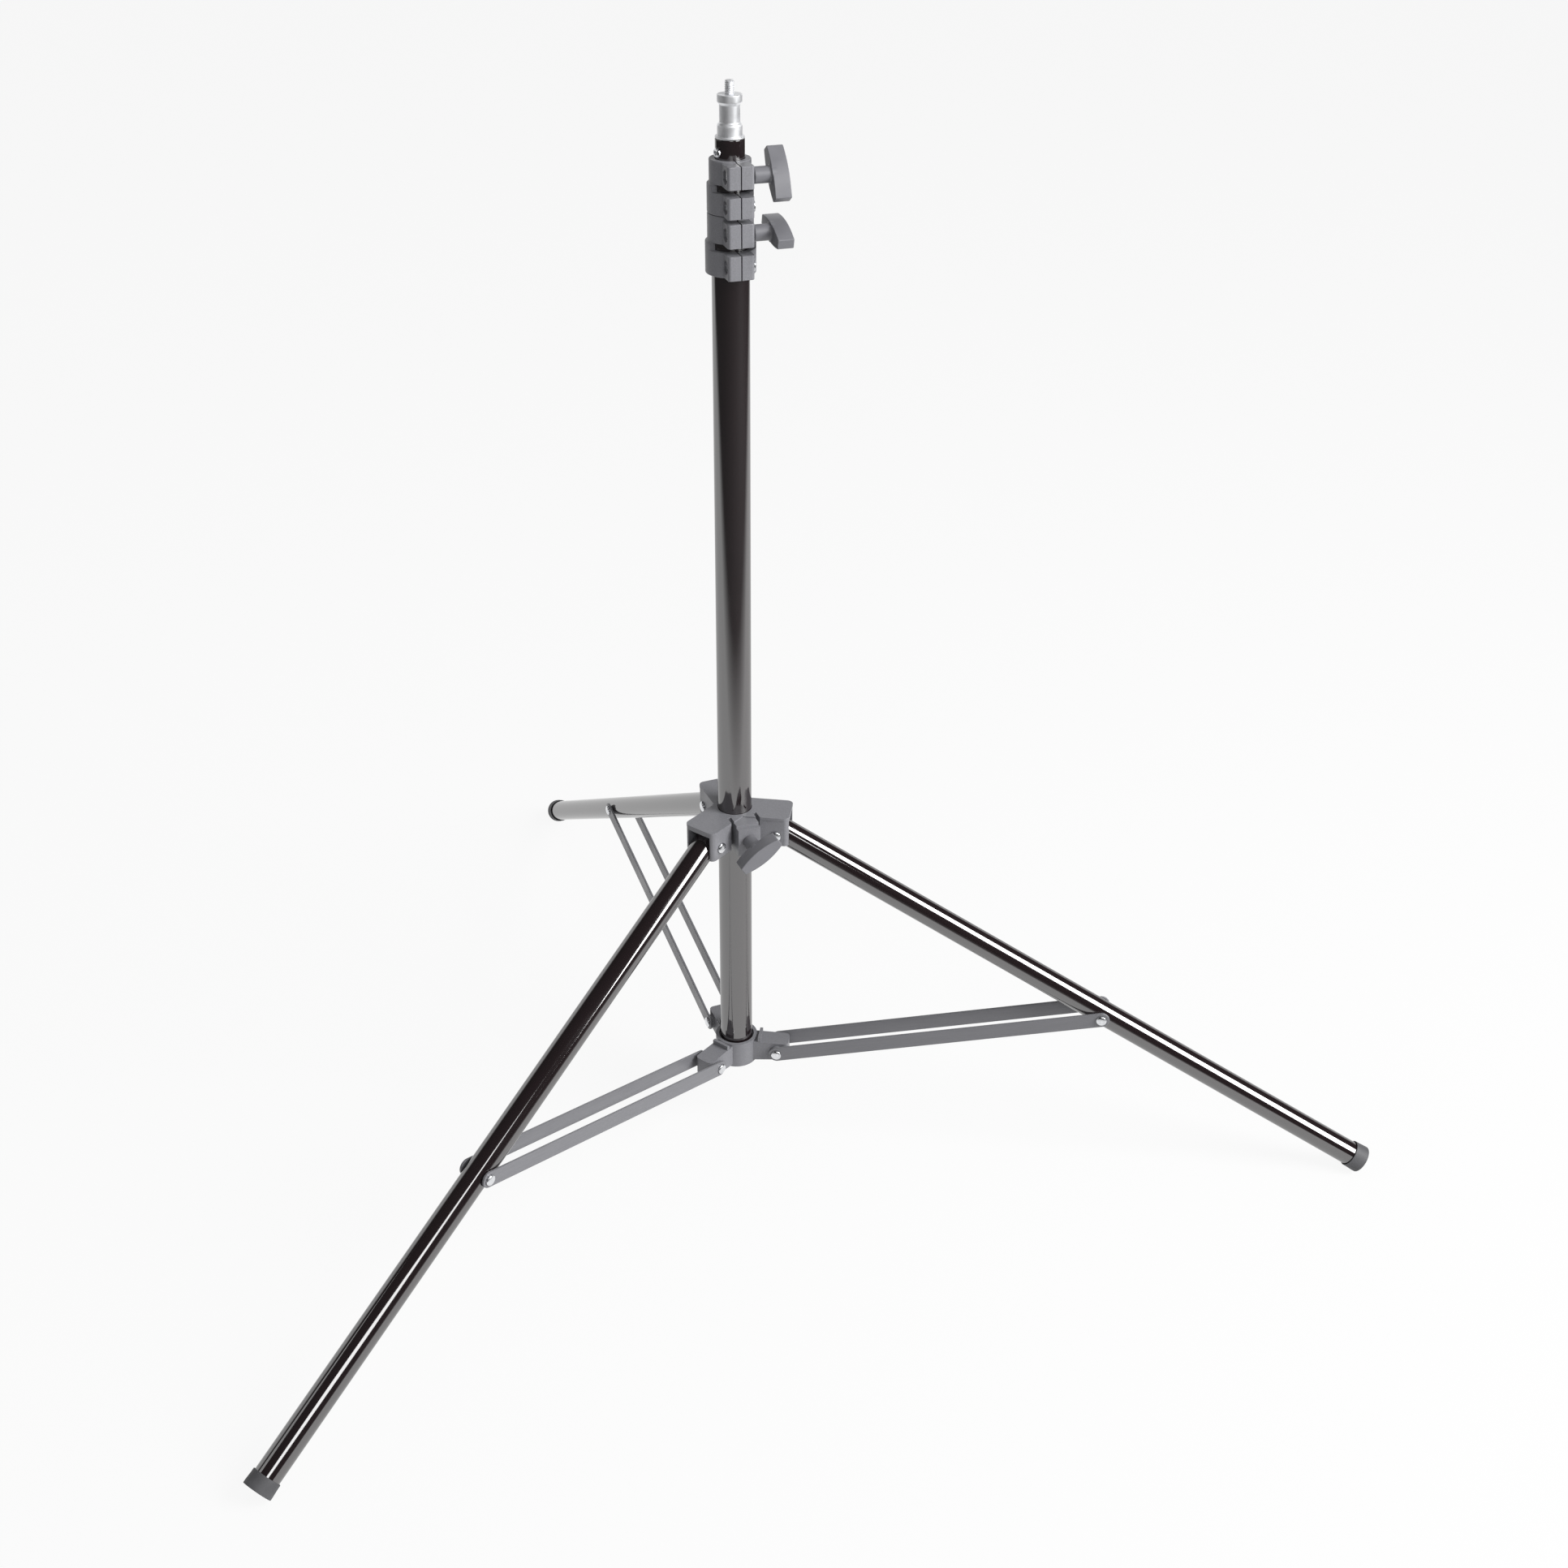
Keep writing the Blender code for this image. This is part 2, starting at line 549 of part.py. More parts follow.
def clamp_knob(name, clamp_frame, height, turn):
    """The T-knob that closes an upper jaw, with the steel stud moulded into it."""
    axis = frame(name + "_axis", clamp_frame, radius=SCREW_REACH, height=height, y=EAR_WIDTH / 2)
    axis.rotation_euler = (radians(-90.0), 0.0, 0.0)
    knob(name, axis, KNOB_SHANK_LENGTH, pi / 2 - turn)
    end_in_nut = EAR_WIDTH - NUT_RECESS
    piece(name + "_stud", rod(SCREW_RADIUS, -end_in_nut, STUD_IN_KNOB), "zinc", axis)


# Column

def column(stand):
    """Base tube, its plug, and the lower clamp on its top end."""
    piece("base_tube", tube(BASE_RADIUS, BASE_INNER, BASE_TUBE_BOTTOM, BASE_TUBE_TOP, TUBE_STEPS),
          "gloss_black", stand)
    shank = BASE_INNER - SLIP
    low = COLLAR_UNDERSIDE_HEIGHT
    plug = [(0.0, low), (BASE_RADIUS, low), (BASE_RADIUS, low + PLUG_FLANGE),
            (shank, low + PLUG_FLANGE), (shank, PLUG_TOP), (0.0, PLUG_TOP)]
    piece("base_plug", turned(plug, TUBE_STEPS), "nylon", stand)
    heading = frame("lower_clamp_heading", stand, bearing=CLAMP_BEARING)
    screw = clamp("lower_clamp", heading, LOWER_CLAMP_BOTTOM, BASE_RADIUS, MIDDLE_RADIUS,
                  LOWER_SEAT_HEIGHT, LOWER_GRIP_HEIGHT, LOWER_EAR_TOP_INSET)
    clamp_knob("lower_knob", heading, screw, LOWER_KNOB_TURN)


def bush(name, outer, inner, low, parent):
    """A moulded bush: a shank inside a tube's lower end and a flange that runs in the next tube."""
    bore = BUSH_BORE_DIAMETER / 2
    ledge = low + BUSH_FLANGE
    top = ledge + BUSH_SHANK
    profile = [(bore, low), (outer - SLIP, low), (outer - SLIP, ledge), (inner - SLIP, ledge),
               (inner - SLIP, top), (bore, top)]
    piece(name, turned(profile, TUBE_STEPS), "nylon", parent)


def middle_section(slide):
    """Middle tube, the bush on its lower end, and the upper clamp on its top end."""
    piece("middle_tube",
          tube(MIDDLE_RADIUS, MIDDLE_INNER, MIDDLE_TUBE_BOTTOM, MIDDLE_TUBE_TOP, TUBE_STEPS),
          "gloss_black", slide)
    bush("middle_tube_bush", BASE_INNER, MIDDLE_INNER, MIDDLE_BUSH_BOTTOM, slide)
    heading = frame("upper_clamp_heading", slide, bearing=CLAMP_BEARING)
    screw = clamp("upper_clamp", heading, UPPER_CLAMP_BOTTOM, MIDDLE_RADIUS, TOP_RADIUS,
                  UPPER_SEAT_HEIGHT, UPPER_GRIP_HEIGHT, EAR_END_INSET)
    clamp_knob("upper_knob", heading, screw, UPPER_KNOB_TURN)


def top_section(slide):
    """Top tube, its bush, and the spigot with the screw that holds it."""
    top_tube = piece("top_tube",
                     tube(TOP_RADIUS, TOP_INNER, TOP_TUBE_BOTTOM, TOP_TUBE_TOP, TUBE_STEPS),
                     "gloss_black", slide)
    bush("top_tube_bush", MIDDLE_INNER, TOP_INNER, TOP_BUSH_BOTTOM, slide)

    shank = TOP_INNER - SLIP
    full = SPIGOT_DIAMETER / 2
    waist = SPIGOT_WAIST_DIAMETER / 2
    post = SPIGOT_POST_DIAMETER / 2
    flange = TOP_TUBE_TOP + SLIP
    barrel = flange + SPIGOT_FLANGE_HEIGHT
    neck = barrel + SPIGOT_BARREL_HEIGHT
    head = neck + SPIGOT_WAIST_HEIGHT
    seat = head + SPIGOT_HEAD_HEIGHT
    tip = seat + SPIGOT_POST_LENGTH
    foot = flange - SPIGOT_SHANK_LENGTH
    profile = [
        (0.0, foot), (shank - SPIGOT_CHAMFER, foot), (shank, foot + SPIGOT_CHAMFER), (shank, flange),
        (TOP_RADIUS, flange), (TOP_RADIUS, barrel), (full, barrel),
        (full, neck - SPIGOT_NECK_TAPER), (waist, neck), (waist, head), (full, head + SPIGOT_NECK_TAPER),
        (full, seat - SPIGOT_CHAMFER), (full - SPIGOT_CHAMFER, seat),
        (post, seat), (post, tip - SPIGOT_CHAMFER), (post - SPIGOT_CHAMFER, tip), (0.0, tip),
    ]
    spigot = piece("spigot", turned(profile, TUBE_STEPS), "nickel", slide)

    height = TOP_TUBE_TOP - SPIGOT_SCREW_DROP
    thread = SPIGOT_SCREW_DIAMETER / 2
    head_low = TOP_RADIUS + SLIP
    end = head_low - SPIGOT_SCREW_LENGTH
    radius = SPIGOT_SCREW_HEAD_DIAMETER / 2
    screw = [(0.0, end), (thread, end)]
    screw += head_profile(head_low, SPIGOT_SCREW_HEAD_HEIGHT, radius, thread)
    place = (lay_along_x(), shift(z=height), about_column(SPIGOT_SCREW_BEARING))
    piece("spigot_screw", moved(turned(screw, HOLE_STEPS), *place), "zinc", slide)
    hole = (thread + SLIP, end - SLIP, TOP_RADIUS + OVERRUN)
    cut(top_tube, "screw_hole", moved(rod(*hole), *place))
    cut(spigot, "screw_hole", moved(rod(*hole), *place))


# Lower collar and leg collar

def lower_collar(stand):
    """A moulding round the foot of the base tube, with an arm for each leg's braces."""
    bottom = COLLAR_UNDERSIDE_HEIGHT
    top = bottom + LOWER_COLLAR_HEIGHT
    arm_top = top - ARM_TOP_DROP
    obj = piece("lower_collar", rod(LOWER_RING, bottom, top, TUBE_STEPS), "satin_grey", stand)
    boss_half = BRACE_INNER_FACE - SLIP
    rib_half = ARM_WIDTH / 2 - ARM_RIB_INSET
    for leg, bearing in LEG_BEARINGS.items():
        turn = about_column(bearing)
        arm = prism(tongue(0.0, ARM_REACH, ARM_WIDTH / 2, ARM_CORNER), bottom, arm_top)
        arm = sliced_below(arm, bottom + ARM_ROOT_RISE, ARM_END_RISE, ARM_REACH)
        add(obj, "arm_" + leg, moved(arm, turn))
        rib = box((ARM_RIB_RADIUS, -rib_half, arm_top - OVERRUN),
                  (ARM_RIB_RADIUS + ARM_RIB_THICKNESS, rib_half, arm_top + ARM_RIB_HEIGHT))
        add(obj, "rib_" + leg, moved(rib, turn))
        boss = moved(rod(ARM_BOSS_DIAMETER / 2, -boss_half, boss_half), lay_along_y(),
                     shift(LOWER_HINGE_RADIUS, 0.0, LOWER_HINGE_HEIGHT))
        add(obj, "boss_" + leg, moved(boss, turn))
        hole = pin_hole(boss_half + OVERRUN, LOWER_HINGE_HEIGHT, LOWER_HINGE_RADIUS)
        cut(obj, "pin_hole_" + leg, moved(hole, turn))
        hinge = frame("brace_pin_" + leg, stand, bearing, LOWER_HINGE_RADIUS, LOWER_HINGE_HEIGHT)
        rivet("lower_collar_rivet_" + leg, BRACE_OUTER_FACE, hinge)
    ledge = top - RIM_RECESS_DEPTH
    rim = COLLAR_BORE + RIM_RECESS
    bore = [(0.0, bottom - OVERRUN), (COLLAR_BORE, bottom - OVERRUN), (COLLAR_BORE, ledge),
            (rim, ledge), (rim, top + OVERRUN), (0.0, top + OVERRUN)]
    cut(obj, "bore", turned(bore, TUBE_STEPS))


def leg_collar(slide):
    """A casting that slides on the base tube: a hinge box for each leg and a lug for the knob."""
    outline = three_arms(COLLAR_RING, BOX_REACH, BOX_HALF_WIDTH, HINGE_BOX_CORNER)
    obj = piece("leg_collar", prism(outline, COLLAR_BOTTOM, COLLAR_TOP), "satin_grey", slide)

    lug_turn = about_column(LUG_BEARING)
    lug_low = COLLAR_SCREW_HEIGHT - LUG_BELOW_SCREW
    step_top = COLLAR_TOP - LUG_STEP_DROP
    face_top = COLLAR_TOP - LUG_FACE_DROP
    side = [(0.0, lug_low), (LUG_REACH, lug_low), (LUG_REACH, face_top),
            (LUG_STEP_REACH, face_top), (LUG_STEP_REACH, step_top), (0.0, step_top)]
    add(obj, "lug", moved(across(side, LUG_WIDTH / 2), lug_turn))
    for name, sign in (("right", -1.0), ("left", 1.0)):
        near, far = sorted((sign * LUG_WIDTH / 2, sign * (LUG_WIDTH / 2 + LUG_NOTCH_WIDTH)))
        notch = box((LUG_NOTCH_RADIUS, near, lug_low - OVERRUN), (BOX_REACH, far, COLLAR_TOP + OVERRUN))
        cut(obj, "notch_" + name, moved(notch, lug_turn))

    for leg, bearing in LEG_BEARINGS.items():
        turn = about_column(bearing)
        inside = box((LEG_HINGE_RADIUS - TAIL_SWING, -BOX_INNER_WIDTH, COLLAR_BOTTOM - OVERRUN),
                     (BOX_REACH + OVERRUN, BOX_INNER_WIDTH, LEG_HINGE_HEIGHT + TAIL_SWING))
        cut(obj, "inside_" + leg, moved(inside, turn))
        hole = pin_hole(BOX_HALF_WIDTH + OVERRUN, LEG_HINGE_HEIGHT, LEG_HINGE_RADIUS)
        cut(obj, "pin_hole_" + leg, moved(hole, turn))
        hinge = frame("leg_pin_" + leg, slide, bearing, LEG_HINGE_RADIUS, LEG_HINGE_HEIGHT)
        rivet("leg_hinge_rivet_" + leg, BOX_HALF_WIDTH, hinge)

    bore = rod(COLLAR_BORE, lug_low - OVERRUN, COLLAR_TOP + OVERRUN, TUBE_STEPS)
    cut(obj, "bore", bore)
    pad_high = COLLAR_BORE + BRAKE_PAD_THICKNESS
    pad_end = pad_high + SLIP
    pad_radius = BRAKE_PAD_DIAMETER / 2
    thread = SCREW_RADIUS + SLIP
    place = (lay_along_x(), shift(z=COLLAR_SCREW_HEIGHT), lug_turn)
    screw_bore = [(0.0, BASE_INNER), (pad_radius + SLIP, BASE_INNER), (pad_radius + SLIP, pad_end),
                  (thread, pad_end), (thread, LUG_REACH + OVERRUN), (0.0, LUG_REACH + OVERRUN)]
    cut(obj, "screw_bore", moved(turned(screw_bore, HOLE_STEPS), *place))
    piece("collar_brake_pad", moved(rod(pad_radius, COLLAR_BORE, pad_high), *place), "brass", slide)

    axis = frame("collar_knob_axis", slide, LUG_BEARING, LUG_REACH, COLLAR_SCREW_HEIGHT)
    axis.rotation_euler = (0.0, radians(90.0), LUG_BEARING)
    knob("collar_knob", axis, COLLAR_KNOB_SHANK_LENGTH, COLLAR_KNOB_TURN)
    tip = LUG_REACH - pad_end
    piece("collar_knob_stud", rod(SCREW_RADIUS, -tip, STUD_IN_KNOB), "zinc", axis)


# Legs and braces

def leg(label, bearing, slide):
    """A leg tube hanging from its hinge, turned out to its open angle, with its foot cap."""
    hinge = frame("leg_hinge_" + label, slide, bearing, LEG_HINGE_RADIUS, LEG_HINGE_HEIGHT)
    end = LEG_LENGTH - FOOT_CAP_SOLE - SLIP
    bm = tube(LEG_RADIUS, LEG_RADIUS - TUBE_WALL, -end, LEG_TAIL, LEG_STEPS)
    obj = piece("leg_tube_" + label, bm, "gloss_black", hinge, turn=-LEG_OPEN_ANGLE)
    cut(obj, "pin_hole", pin_hole(LEG_RADIUS + OVERRUN))

    inner = LEG_RADIUS + SLIP
    mouth = FOOT_CAP_LENGTH - LEG_LENGTH
    cap = [(0.0, -LEG_LENGTH), (FOOT_CAP_RADIUS, -LEG_LENGTH), (inner + FOOT_CAP_WALL, mouth),
           (inner, mouth), (inner, FOOT_CAP_SOLE - LEG_LENGTH), (0.0, FOOT_CAP_SOLE - LEG_LENGTH)]
    piece("foot_cap_" + label, turned(cap, LEG_STEPS), "rubber", hinge, turn=-LEG_OPEN_ANGLE)


def brace_outline():
    """A flat bar along X with round ends about its two rivets."""
    end = BRACE_WIDTH / 2
    outline = arc((BRACE_LENGTH, 0.0), end, -pi / 2, pi / 2, 2 * CORNER_STEPS)
    return outline + arc((0.0, 0.0), end, pi / 2, 1.5 * pi, 2 * CORNER_STEPS)


def brace_pair(label, bearing, stand):
    """Two flat bars on one arm of the lower collar, with the rivet ends that meet the leg."""
    hinge = frame("brace_hinge_" + label, stand, bearing, LOWER_HINGE_RADIUS, LOWER_HINGE_HEIGHT)
    upright = Matrix.Rotation(radians(-90.0), 4, "Y")
    for side, sign in (("right", -1.0), ("left", 1.0)):
        face = BRACE_INNER_FACE if sign > 0 else -BRACE_OUTER_FACE
        bar = moved(prism(brace_outline(), 0.0, BRACE_THICKNESS), lay_along_y(), upright,
                    shift(y=face))
        name = "brace_" + label + "_" + side
        obj = piece(name, bar, "brace_grey", hinge, turn=BRACE_OPEN_ANGLE)
        hole = pin_hole(BRACE_THICKNESS)
        cut(obj, "lower_hole", moved(hole, shift(y=face + BRACE_THICKNESS / 2)))
        hole = pin_hole(BRACE_THICKNESS, BRACE_LENGTH)
        cut(obj, "upper_hole", moved(hole, shift(y=face + BRACE_THICKNESS / 2)))

        start = LEG_RADIUS + SLIP
        base = BRACE_OUTER_FACE + SLIP
        profile = [(0.0, start), (PIN_RADIUS, start)]
        profile += head_profile(base, RIVET_HEAD_HEIGHT, RIVET_HEAD_DIAMETER / 2, PIN_RADIUS)
        stub = moved(turned(profile, HOLE_STEPS), Matrix.Rotation(radians(-90.0) * sign, 4, "X"),
                     shift(z=BRACE_LENGTH))
        piece("brace_rivet_" + label + "_" + side, stub, "zinc", hinge, turn=BRACE_OPEN_ANGLE)


def build():
    for old in list(bpy.data.objects):
        bpy.data.objects.remove(old, do_unlink=True)

    stand = frame("stand", None, y=COLUMN_Y)
    column(stand)
    lower_collar(stand)
    middle_slide = frame("middle_slide", stand)
    middle_section(middle_slide)
    top_section(frame("top_slide", middle_slide))
    collar_slide = frame("collar_slide", stand)
    leg_collar(collar_slide)
    for label, bearing in LEG_BEARINGS.items():
        leg(label, bearing, collar_slide)
        brace_pair(label, bearing, stand)


build()
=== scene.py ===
# A light stand set up on its braced legs with its sections closed, on a pale studio floor.
# The pieces follow from the foot of the column to the spigot, then the collar, legs and braces.

import json
from math import atan2, cos, pi, radians, sin, sqrt, tan, tau

import bmesh
import bpy
from mathutils import Matrix, Vector


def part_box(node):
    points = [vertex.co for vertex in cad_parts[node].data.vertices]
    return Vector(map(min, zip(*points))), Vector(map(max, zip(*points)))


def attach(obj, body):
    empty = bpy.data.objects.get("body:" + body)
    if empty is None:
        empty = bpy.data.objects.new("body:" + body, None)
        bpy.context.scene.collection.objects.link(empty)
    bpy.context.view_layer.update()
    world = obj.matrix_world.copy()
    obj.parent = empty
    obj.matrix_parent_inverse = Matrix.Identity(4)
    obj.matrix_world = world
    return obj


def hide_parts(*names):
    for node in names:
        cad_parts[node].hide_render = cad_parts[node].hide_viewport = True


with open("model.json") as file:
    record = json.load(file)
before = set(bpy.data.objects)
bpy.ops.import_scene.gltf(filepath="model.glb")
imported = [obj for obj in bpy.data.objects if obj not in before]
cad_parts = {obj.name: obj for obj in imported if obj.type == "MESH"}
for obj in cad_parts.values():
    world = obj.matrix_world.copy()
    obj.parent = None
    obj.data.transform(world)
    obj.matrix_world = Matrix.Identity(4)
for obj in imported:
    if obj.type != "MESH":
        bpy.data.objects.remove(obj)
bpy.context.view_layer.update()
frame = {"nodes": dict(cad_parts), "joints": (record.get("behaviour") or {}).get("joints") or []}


# Base tube
# The fixed part of the column, a drawn aluminium tube under gloss black paint. It stands in the
# lower collar and is turned from the section of its wall, with both ends eased.

MM = 0.001
SMOOTH_UP_TO = radians(35.0)


def middle(node):
    """The middle of a node's box."""
    low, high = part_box(node)
    return (low + high) / 2


def half_width(node):
    """Half of a node's width along X, the radius of a tube that lies square to X."""
    low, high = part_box(node)
    return (high.x - low.x) / 2


def spun(outline, steps=96):
    """Turn a section of (radius, height) points about Z, closed unless it starts on the axis."""
    bm = bmesh.new()
    points = [bm.verts.new((radius, 0.0, height)) for radius, height in outline]
    edges = [bm.edges.new(pair) for pair in zip(points, points[1:])]
    if outline[0][0] > 0.0:
        edges.append(bm.edges.new((points[-1], points[0])))
    bmesh.ops.spin(
        bm, geom=points + edges, axis=(0, 0, 1), cent=(0, 0, 0), angle=tau, steps=steps,
        use_merge=True
    )
    bmesh.ops.remove_doubles(bm, verts=bm.verts, dist=1e-7)
    bmesh.ops.recalc_face_normals(bm, faces=bm.faces)
    return bm


def rounded(bm, edges, width, segments):
    """Round over some of a solid's edges."""
    bmesh.ops.bevel(
        bm, geom=edges, offset=width, offset_type="OFFSET", segments=segments, profile=0.5,
        affect="EDGES", clamp_overlap=True, material=-1
    )
    return bm


def eased(bm, width, segments=3, sharp=30.0):
    """Round over every edge that turns by more than a sharp angle."""
    edges = [edge for edge in bm.edges
             if len(edge.link_faces) == 2 and edge.calc_face_angle() > radians(sharp)]
    return rounded(bm, edges, width, segments)


def placed(bm, matrix):
    """A solid moved by a matrix."""
    bm.transform(matrix)
    return bm


def linked(name, data):
    """A new object in the scene."""
    made = bpy.data.objects.new(name, data)
    bpy.context.scene.collection.objects.link(made)
    return made


def set_down(name, bm):
    """A new object in the scene with a solid's mesh."""
    mesh = bpy.data.meshes.new(name)
    bm.to_mesh(mesh)
    bm.free()
    return linked(name, mesh)


def dressed(name, bm, material, body, slot, *nodes):
    """Set down a finished piece that rides on a body and stands for its nodes."""
    piece = set_down(name, bm)
    mesh = piece.data
    mesh.materials.append(material)
    mesh.shade_smooth()
    mesh.set_sharp_from_angle(angle=SMOOTH_UP_TO)
    for face in mesh.polygons:
        face.use_smooth = len(face.vertices) <= 4
    flat_faces = piece.modifiers.new("flat_faces", "WEIGHTED_NORMAL")
    flat_faces.keep_sharp = True
    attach(piece, body)
    if nodes:
        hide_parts(*nodes)


def finish(name, colour, roughness, metallic=0.0):
    """A new material and its shader, with the values that are the same all over."""
    material = bpy.data.materials.new(name)
    material.use_nodes = True
    shader = material.node_tree.nodes["Principled BSDF"]
    shader.inputs["Base Color"].default_value = (*colour, 1.0)
    shader.inputs["Roughness"].default_value = roughness
    shader.inputs["Metallic"].default_value = metallic
    return material, shader


def added(owner, kind, values, links):
    """Add a node to a material or world, set its inputs and link sockets into it."""
    made = owner.node_tree.nodes.new(kind)
    for key, value in values.items():
        if key in made.inputs:
            made.inputs[key].default_value = value
        else:
            setattr(made, key, value)
    for key, source in links.items():
        owner.node_tree.links.new(source, made.inputs[key])
    return made


def blended(owner, operation, first, second):
    """A Math node on two sockets or numbers."""
    made = owner.node_tree.nodes.new("ShaderNodeMath")
    made.operation = operation
    for place, source in enumerate((first, second)):
        if isinstance(source, float):
            made.inputs[place].default_value = source
        else:
            owner.node_tree.links.new(source, made.inputs[place])
    return made.outputs[0]


def object_space(material, turn=(0.0, 0.0, 0.0), stretch=(1.0, 1.0, 1.0)):
    """Coordinates on the piece, turned and then stretched."""
    source = added(material, "ShaderNodeTexCoord", {}, {}).outputs["Object"]
    turned = added(material, "ShaderNodeMapping", {"Rotation": turn}, {"Vector": source})
    scaled = added(material, "ShaderNodeMapping", {"Scale": stretch},
                   {"Vector": turned.outputs["Vector"]})
    return scaled.outputs["Vector"]


def noise(material, space, scale, detail=3.0):
    """A noise pattern, with its scale in waves per metre."""
    values = {"Scale": scale, "Detail": detail}
    return added(material, "ShaderNodeTexNoise", values, {"Vector": space}).outputs["Fac"]


def ranged(material, value, span, target):
    """Spread the part of a value inside a span over a target range."""
    values = {"From Min": span[0], "From Max": span[1], "To Min": target[0], "To Max": target[1]}
    return added(material, "ShaderNodeMapRange", values, {"Value": value}).outputs["Result"]


def tinted(material, factor, first, second):
    """Blend two colours."""
    made = added(material, "ShaderNodeMix", {"data_type": "RGBA"}, {0: factor})
    for socket, colour in ((6, first), (7, second)):
        made.inputs[socket].default_value = (*colour, 1.0)
    return made.outputs[2]


def bumped(material, height, distance, strength, under=None):
    """A relief of a height pattern, on top of another relief where one is given."""
    values = {"Distance": distance, "Strength": strength}
    links = {"Height": height}
    if under:
        links["Normal"] = under
    return added(material, "ShaderNodeBump", values, links).outputs["Normal"]


def feed(owner, socket, source):
    """Link a socket to its source."""
    owner.node_tree.links.new(source, socket)


PAINT_BLACK = (0.012, 0.007, 0.008)
PAINT_DUST = (0.10, 0.09, 0.09)
PAINT_ROUGHNESS = 0.12
PAINT_INDEX = 2.5
PEEL_DEPTH = 0.02 * MM


def gloss_black(name, turn):
    """Gloss black paint: faint orange peel, smudges, hairlines along the tube and a few specks."""
    material, shader = finish(name, PAINT_BLACK, PAINT_ROUGHNESS)
    shader.inputs["IOR"].default_value = PAINT_INDEX
    even = object_space(material, turn)
    lengthwise = object_space(material, turn, (1.0, 1.0, 0.02))
    specks = added(material, "ShaderNodeTexVoronoi", {"Scale": 130.0}, {"Vector": even})
    dust = ranged(material, specks.outputs["Distance"], (0.035, 0.05), (1.0, 0.0))
    rare = ranged(material, noise(material, even, 9.0, 1.0), (0.57, 0.62), (0.0, 0.55))
    dusty = blended(material, "MULTIPLY", dust, rare)
    feed(material, shader.inputs["Base Color"], tinted(material, dusty, PAINT_BLACK, PAINT_DUST))
    lines = noise(material, lengthwise, 2200.0, 2.0)
    hairlines = ranged(material, lines, (0.60, 0.75), (0.0, 0.03))
    smudges = ranged(material, noise(material, even, 28.0, 4.0), (0.35, 0.75), (0.06, 0.11))
    feed(material, shader.inputs["Roughness"], blended(material, "ADD", hairlines, smudges))
    peel = bumped(material, noise(material, even, 500.0, 1.0), PEEL_DEPTH, 0.10)
    feed(material, shader.inputs["Normal"], peel)
    return material


COLUMN = middle("base_tube") * Vector((1.0, 1.0, 0.0))
AT_COLUMN = Matrix.Translation(COLUMN)
WALL = 1.0 * MM
TUBE_EDGE = 0.3 * MM


def column_tube(node, body):
    """A tube about the column's axis in the place of its node."""
    low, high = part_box(node)
    outer = half_width(node)
    section = [(outer, low.z), (outer, high.z), (outer - WALL, high.z), (outer - WALL, low.z)]
    tube = placed(eased(spun(section), TUBE_EDGE, segments=2), AT_COLUMN)
    dressed(node + "_painted", tube, COLUMN_PAINT, body, "tube_black", node)


COLUMN_PAINT = gloss_black("column_paint", turn=(0.0, 0.0, 0.0))
column_tube("base_tube", "column")


# Base plug and tube bushes
# Black nylon mouldings: the plug closes the foot of the base tube, and a bush on the lower end of
# each inner tube runs in the next one. They keep their shapes and take a moulded nylon finish.

GRAIN_DEPTH = 0.03 * MM


def moulded(name, colour, roughness, grain=1600.0):
    """Moulded plastic: a fine even grain, flow marks and a little unevenness in the gloss."""
    material, shader = finish(name, colour, roughness)
    even = object_space(material)
    flow = noise(material, even, 60.0, 3.0)
    feed(material, shader.inputs["Roughness"],
         ranged(material, flow, (0.3, 0.7), (roughness - 0.06, roughness + 0.06)))
    darker = tuple(c * 0.85 for c in colour)
    lighter = tuple(c * 1.15 for c in colour)
    feed(material, shader.inputs["Base Color"], tinted(material, flow, darker, lighter))
    relief = bumped(material, noise(material, even, grain), GRAIN_DEPTH, 0.4)
    feed(material, shader.inputs["Normal"], relief)
    return material


def refinished(material, *nodes):
    """Give nodes that keep their shapes a material."""
    for node in nodes:
        for place in frame["nodes"][node].material_slots:
            place.material = material


NYLON = moulded("black_nylon", colour=(0.03, 0.03, 0.03), roughness=0.5)
refinished(NYLON, "base_plug", "middle_tube_bush", "top_tube_bush")


# Lower collar
# A casting round the foot of the base tube, with a rib across the root of each leg's arm. The arms
# rise below toward their ends and have round bosses for the braces, and the ring's rim is stepped.

CORNER_STEPS = 6
HOLE_STEPS = 32
PIN_STEPS = 48


def combined(bm, operation, *tools):
    """Weld solids on, or cut them out, and hand back the shaped solid."""
    blanks = [set_down("blank", solid) for solid in (bm, *tools)]
    for tool in blanks[1:]:
        step = blanks[0].modifiers.new("step", "BOOLEAN")
        step.operation = operation
        step.solver = "EXACT"
        step.object = tool
    bpy.context.view_layer.update()
    evaluated = blanks[0].evaluated_get(bpy.context.evaluated_depsgraph_get())
    shaped = bmesh.new()
    shaped.from_mesh(evaluated.to_mesh())
    evaluated.to_mesh_clear()
    for blank in blanks:
        mesh = blank.data
        bpy.data.objects.remove(blank)
        bpy.data.meshes.remove(mesh)
    bmesh.ops.remove_doubles(shaped, verts=shaped.verts, dist=2e-6)
    bmesh.ops.dissolve_degenerate(shaped, dist=2e-6, edges=shaped.edges)
    return shaped


